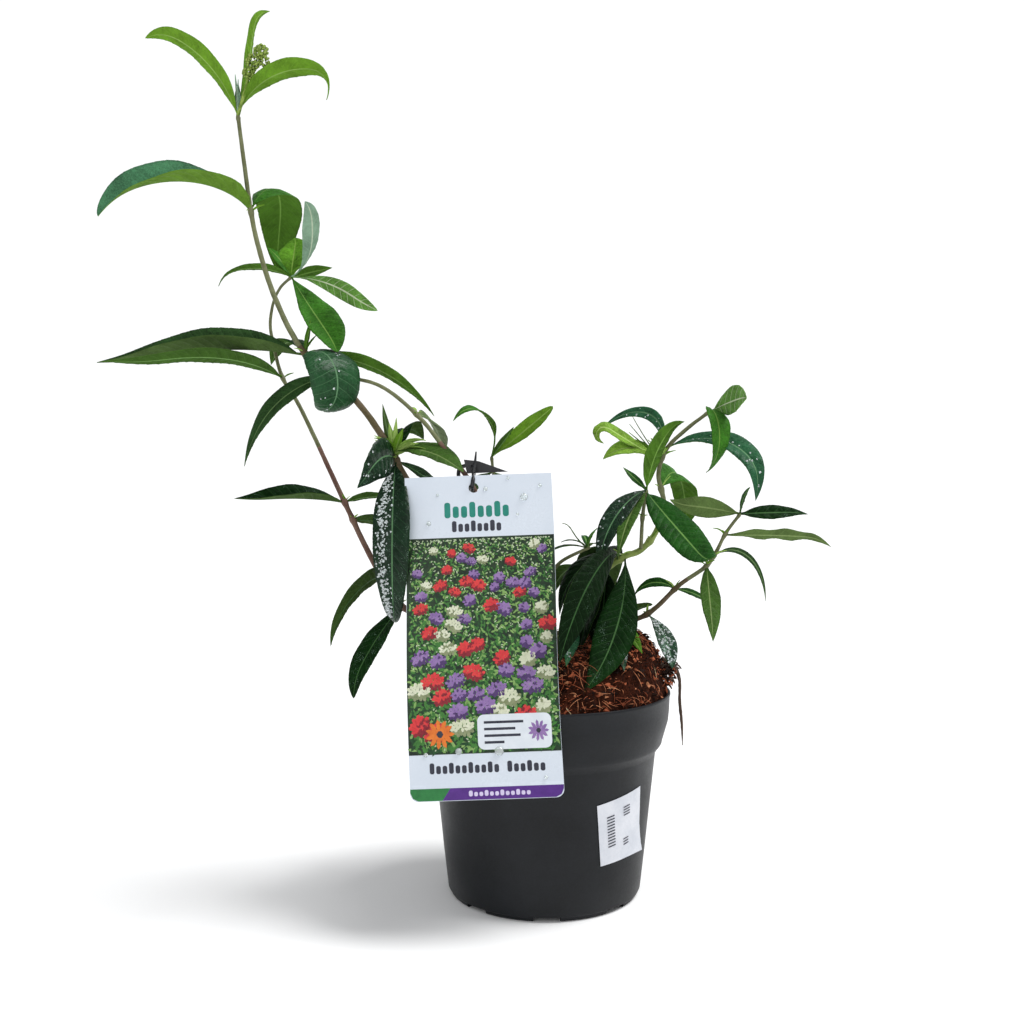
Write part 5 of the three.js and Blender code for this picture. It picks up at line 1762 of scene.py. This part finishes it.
    def broken_bar(self, draft: MeshDraft, left: float, right: float, top: float, bottom: float, count: int,
                   lift: float, finish: Finish) -> None:
        """Adds a printed bar broken into blocks of two heights.

        Args:
            draft: The piece to add to.
            left: Its left end, right of the middle line.
            right: Its right end.
            top: Its top, below the top edge.
            bottom: Its bottom.
            count: How many blocks.
            lift: Height of its ink.
            finish: Its ink.
        """
        pitch = (right - left) / count
        for number in range(count):
            low = 0.0 if number % 3 == 0 else 0.26 * (bottom - top)
            start = left + number * pitch
            block = self.rectangle(start, start + 0.72 * pitch, top + low, bottom, 0.3 * pitch)
            self.panel(draft, block, lift, finish)

    def make_garden(self, draft: MeshDraft, ink: float) -> None:
        """Adds a field of small leaves and round blossoms in a drifting layout.

        Args:
            draft: The piece to add to.
            ink: Height of the print.
        """
        first, last = self.picture
        half = self.width / 2 - 1.0
        for number in range(self.sprigs):
            share = self.dice.random()
            drop = first + 1.5 + (last - first - 3.0) * share
            size = 1.2 + 1.6 * share
            self.petal(draft, self.dice.uniform(-half + 1, half - 1), drop, self.dice.uniform(0, 6.28),
                       size * self.dice.uniform(0.5, 1.2), size * 0.34, ink + 0.02 * (number % 4),
                       self.dice.choices(INK_LEAVES, (3, 5, 5.0 - 3.5 * share))[0])
        for number in range(self.sparks):
            drop = first + 1.5 + (last - first - 3.0) * self.dice.random() ** 2.2
            self.petal(draft, self.dice.uniform(-half + 1, half - 1), drop, self.dice.uniform(0, 6.28),
                       self.dice.uniform(0.4, 1.0), 0.35, ink + 0.08 + 0.01 * (number % 2), INK_SPARK)
        placed: list[tuple[float, float]] = []
        while len(placed) < self.blooms:
            drop = first + 5 + (last - first - 12) * self.dice.random() ** 0.85
            across = self.dice.uniform(-half + 4, half - 4)
            size = 2.7 + 3.0 * (drop - first) / (last - first)
            if all(math.hypot(across - x, drop - y) > 1.75 * size for x, y in placed):
                placed.append((across, drop))
                inks = self.dice.choices(INK_BLOOMS, (5, 7, 4))[0]
                self.bloom(draft, across, drop, size * self.dice.uniform(0.8, 1.1), ink + 0.1, inks)
            elif self.dice.random() < 0.004:
                break
        self.rosette(draft, -27.0, last - 12.0, 9.0, ink + 0.2, INK_ORANGE)
        self.panel(draft, self.rectangle(-4.0, 41.0, last - 23.0, last - 2.0, 4.0), ink + 0.25, INK_WHITE)
        for left, right, top in self.lines:
            bar = self.rectangle(left, right, last - top, last - top + 1.5)
            self.panel(draft, bar, ink + 0.3, INK_CHARCOAL)
        self.rosette(draft, 33.0, last - 12.5, 6.5, ink + 0.3, INK_BLOOMS[1][0])

    def rosette(self, draft: MeshDraft, across: float, drop: float, size: float, lift: float,
                ink: Finish) -> None:
        """Adds one open flower of two rings of petals round a dark middle.

        Args:
            draft: The piece to add to.
            across: Its place right of the middle line.
            drop: Its place below the top edge.
            size: Its radius.
            lift: Height of its ink.
            ink: The petals' ink.
        """
        for ring, (count, reach) in enumerate(((11, 0.66), (9, 0.42))):
            for number in range(count):
                turn = (number + 0.5 * ring) / count * math.tau
                self.petal(draft, across + reach * size * math.cos(turn), drop - reach * size * math.sin(turn),
                           turn, size * 0.34, size * 0.15, lift + 0.02 * (number % 2 + 2 * ring), ink)
        self.petal(draft, across, drop, 0.0, size * 0.24, size * 0.26, lift + 0.1, INK_CHARCOAL)

    def petal(self, draft: MeshDraft, across: float, drop: float, turn: float, long: float, broad: float,
              lift: float, finish: Finish) -> None:
        """Adds one pointed printed leaf or petal.

        Args:
            draft: The piece to add to.
            across: Its place right of the middle line.
            drop: Its place below the top edge.
            turn: Its direction in radians.
            long: Half its length.
            broad: Half its width.
            lift: Height of its ink.
            finish: Its ink.
        """
        outline = ((1.0, 0.0), (0.4, 0.9), (-0.4, 0.8), (-1.0, 0.0), (-0.4, -0.8), (0.4, -0.9))
        points = []
        for x, y in outline:
            x, y = x * long, y * broad
            points.append(self.spot(*beside(x, y, turn, across, drop), lift))
        draft.add(points, [(0, 1, 2, 3, 4, 5)], finish)

    def bloom(self, draft: MeshDraft, across: float, drop: float, size: float, lift: float,
              inks: tuple[Finish, Finish]) -> None:
        """Adds one round blossom head made of small florets, darker along its lower side.

        Args:
            draft: The piece to add to.
            across: Its place right of the middle line.
            drop: Its place below the top edge.
            size: Its radius.
            lift: Height of its ink.
            inks: Its lit and its shaded ink.
        """
        long = self.dice.uniform(1.0, 1.5)
        lean = self.dice.uniform(-0.5, 0.5)
        for number in range(self.florets):
            turn = number * GOLDEN_TURN
            reach = size * math.sqrt((number + 0.5) / self.florets)
            x, y = reach * math.cos(turn) * long, reach * math.sin(turn)
            low = y < -0.35 * size or self.dice.random() < 0.12
            self.petal(draft, *beside(x, y, lean, across, drop), turn, size * 0.28, size * 0.22,
                       lift + 0.012 * (number % 4), inks[low])

    def make_beads(self) -> None:
        """Builds the drops of water on the card."""
        draft = MeshDraft()
        front = self.axes()[3]
        for across, height, radius in self.beads:
            drop(draft, self.spot(across, height, self.thick / 2 + 0.1), front, radius)
        settle(draft.build("label_drops"), "label")

    def make(self) -> None:
        """Builds the card, its print and the drops on it."""
        self.make_card()
        self.make_print()
        self.make_beads()


@dataclass
class Tie:
    """The black tie that holds the label to a stem: a thin loop and a flat pointed head."""

    loop: tuple[Point, ...] = ((-47.2, -54, 276), (-46.4, -50, 283.5), (-46.8, -42, 288), (-51, -32, 289.3),
                               (-56.3, -26.5, 287), (-57, -25, 282), (-53, -29, 277), (-49.5, -38, 273.5),
                               (-47.6, -47, 273))
    head: tuple[tuple[float, float], ...] = ((-53.0, 293.0), (-51.0, 284.0), (-24.5, 285.2), (-43.5, 292.0))
    head_depths: tuple[float, float] = (-40.2, -38.8)
    tail: tuple[Point, ...] = ((-46.6, -50, 285), (-45.5, -51, 291), (-44.8, -50, 298))
    strap: float = 1.35

    def make(self) -> None:
        """Builds the loop, its pointed end and the head."""
        draft = MeshDraft()
        path = smooth_path(self.loop, 8, closed=True)
        tube(draft, path, [self.strap] * len(path), TIE_PLASTIC, sides=10)
        tail = smooth_path(self.tail, 6)
        tube(draft, tail, np.linspace(1.4, 0.5, len(tail)).tolist(), TIE_PLASTIC, sides=8)
        front, back = ([(x, depth, z) for x, z in self.head] for depth in self.head_depths)
        count = len(self.head)
        faces = [tuple(range(count)), tuple(reversed(range(count, 2 * count)))]
        faces += [((k + 1) % count, k, k + count, (k + 1) % count + count) for k in range(count)]
        draft.add(front + back, faces, TIE_PLASTIC)
        settle(draft.build("label_tie_loop", crease=40.0), "tie", "label_tie")


@dataclass
class Sticker:
    """A plain paper sticker bent round the pot, with one corner peeling."""

    pot: Pot
    width: float = 39.0
    height: float = 43.0
    middle: float = 57.0
    azimuth: float = -47.0
    tilt: float = 9.0
    lift: float = 0.35
    columns: int = 30
    rows: int = 34
    stripes: tuple[tuple[float, float, float, int, float], ...] = (
        (-13.0, -7.0, -9.0, 11, 2.0), (1.0, 7.0, 8.0, 4, 1.8), (0.0, 5.0, -12.0, 3, 1.9))

    def spot(self, across: float, rise: float, lift: float) -> np.ndarray:
        """A place on the sticker, from its middle.

        Args:
            across: Distance to the right, millimetres.
            rise: Distance up, millimetres.
            lift: Distance off the pot, millimetres.

        Returns:
            The place in the frame.
        """
        lean = math.radians(self.tilt)
        aside = across * math.cos(lean) - rise * math.sin(lean)
        height = self.middle + across * math.sin(lean) + rise * math.cos(lean)
        pot = self.pot
        wall = pot.body_bottom + (pot.body_top - pot.body_bottom) * height / (pot.height - pot.collar - 6.0)
        angle = math.radians(self.azimuth) + aside / wall
        return np.array(polar(wall + lift, angle, height))

    def edge(self, share: float) -> float:
        """Share of the width that the right edge reaches at a share of the height."""
        return 1.0 - 0.03 * (1.0 - share)

    def make(self) -> None:
        """Builds the sticker as a thin sheet with a peeling lower right corner."""
        draft = MeshDraft()
        front, back = [], []
        for row in range(self.rows + 1):
            up = row / self.rows
            for column in range(self.columns + 1):
                along = column / self.columns
                across = (along * self.edge(up) - 0.5) * self.width
                rise = (up - 0.5) * self.height - 3.5 * (along - 0.55) * (1 - up)
                peel = max(0.0, along - 0.72 + (0.25 - up)) if up < 0.4 else 0.0
                creases = 0.15 * abs(noise.noise(Vector((across * 0.2, rise * 0.2, 3.0))))
                curl = self.lift + 9.0 * peel ** 2 + creases
                front.append(self.spot(across, rise, curl + 0.25))
                back.append(self.spot(across, rise, curl))
        wide = self.columns + 1
        total = wide * (self.rows + 1)
        faces: list[tuple[int, ...]] = []
        for row in range(self.rows):
            for column in range(self.columns):
                a = row * wide + column
                faces.append((a, a + 1, a + wide + 1, a + wide))
                faces.append((a + wide + total, a + wide + 1 + total, a + 1 + total, a + total))
        border = [row * wide for row in range(self.rows + 1)]
        border += [self.rows * wide + column for column in range(1, wide)]
        border += [row * wide + self.columns for row in reversed(range(self.rows))]
        border += [column for column in reversed(range(1, self.columns))]
        for a, b in zip(border, border[1:] + border[:1]):
            faces.append((b + total, a + total, a, b))
        draft.add(front + back, faces, STICKER_PAPER)
        for left, right, low, count, gap in self.stripes:
            for number in range(count):
                self.stripe(draft, left, right, low + number * gap, 0.4 * gap)
        settle(draft.build("pot_sticker", crease=60.0), "sticker", "sticker")

    def stripe(self, draft: MeshDraft, left: float, right: float, low: float, tall: float) -> None:
        """Adds one plain printed stripe.

        Args:
            draft: The piece to add to.
            left: Its left end, from the sticker's middle.
            right: Its right end.
            low: Its lower edge.
            tall: Its height.
        """
        steps = 6
        spots = [left + (right - left) * step / steps for step in range(steps + 1)]
        points = [self.spot(across, rise, self.lift + 0.5) for rise in (low, low + tall) for across in spots]
        draft.add(points, [(k, k + 1, k + steps + 2, k + steps + 1) for k in range(steps)], INK_CHARCOAL)


# ------------------------------------------------------------------ stage
FLOOR_GAP = 0.0002  # how far the floor lies under the pot, metres


@dataclass
class Stage:
    """The pale floor, the soft studio light and the camera."""

    camera_place: Point = (-22.0, -800.0, 292.0)
    camera_pitch: float = 2.47
    focal_pixels: float = 1180.0
    picture_pixels: float = 1024.0
    sensor: float = 36.0
    world_light: float = 0.465
    key_light: float = 2.85
    key_angle: float = 30.0
    key_from: Point = (0.5, 0.0, 0.85)
    fill_power: float = 9.0
    fill_size: float = 1.4
    fill_place: Point = (-0.5, -1.7, 1.0)
    fill_aim: Point = (0.0, 0.0, 0.25)

    def make_camera(self) -> None:
        """Places the camera."""
        lens = bpy.data.cameras.new("camera")
        lens.sensor_width = self.sensor
        lens.lens = self.focal_pixels / self.picture_pixels * self.sensor
        lens.clip_start, lens.clip_end = 0.01, 50.0
        camera = place_object("camera", lens)
        camera.location = Vector(self.camera_place) * MM
        camera.rotation_euler = (math.radians(90.0 - self.camera_pitch), 0.0, 0.0)
        bpy.context.scene.camera = camera

    def make_floor(self) -> None:
        """Lays the floor, swept gently up far behind the plant."""
        finish = Finish("floor_paper", (250, 250, 250), (247, 247, 247), rough=(0.9, 0.95), patch_scale=3.0,
                        relief=0.0, specular=0.0)
        start, bend, slope, steps, reach = 1.4, 2.5, math.radians(36.0), 12, 6.0
        section = [(-reach, 0.0)]
        section += [(start + bend * math.sin(turn), bend * (1 - math.cos(turn)))
                    for turn in (slope * step / steps for step in range(steps + 1))]
        section.append((section[-1][0] + reach * math.cos(slope), section[-1][1] + reach * math.sin(slope)))
        draft = MeshDraft()
        points = [(side * reach / MM, along / MM, (height - FLOOR_GAP) / MM)
                  for along, height in section for side in (-1, 1)]
        faces = [(2 * k, 2 * k + 1, 2 * k + 3, 2 * k + 2) for k in range(len(section) - 1)]
        draft.add(points, faces, finish)
        draft.build("floor")

    def make_lights(self) -> None:
        """Sets the world, the soft key from the right and the fill from the front."""
        scene = bpy.context.scene
        scene.view_settings.view_transform = "Standard"
        world = bpy.data.worlds.new("studio")
        world.use_nodes = True
        backdrop = world.node_tree.nodes["Background"]
        backdrop.inputs["Color"].default_value = (0.97, 0.98, 1.0, 1.0)
        backdrop.inputs["Strength"].default_value = self.world_light
        scene.world = world
        key = bpy.data.lights.new("key", "SUN")
        key.energy = self.key_light
        key.angle = math.radians(self.key_angle)
        lamp = place_object("key", key)
        lamp.rotation_euler = (-Vector(self.key_from)).to_track_quat("-Z", "Y").to_euler()
        fill = bpy.data.lights.new("fill", "AREA")
        fill.size = self.fill_size
        fill.energy = self.fill_power
        lamp = place_object("fill", fill)
        lamp.location = self.fill_place
        aim = Vector(self.fill_aim) - Vector(self.fill_place)
        lamp.rotation_euler = aim.to_track_quat("-Z", "Y").to_euler()

    def make(self) -> None:
        """Builds the camera, floor and lights."""
        self.make_camera()
        self.make_floor()
        self.make_lights()


def main() -> None:
    """Builds every piece."""
    logging.basicConfig(level=logging.INFO, format="%(name)s %(message)s")
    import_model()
    Stage().make()
    pot = Pot()
    pot.make()
    Compost(pot).make()
    Plant(crown_top=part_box("crown")[1].z / MM).make()
    Label().make()
    Tie().make()
    Sticker(pot).make()


if __name__ == "__main__":
    main()
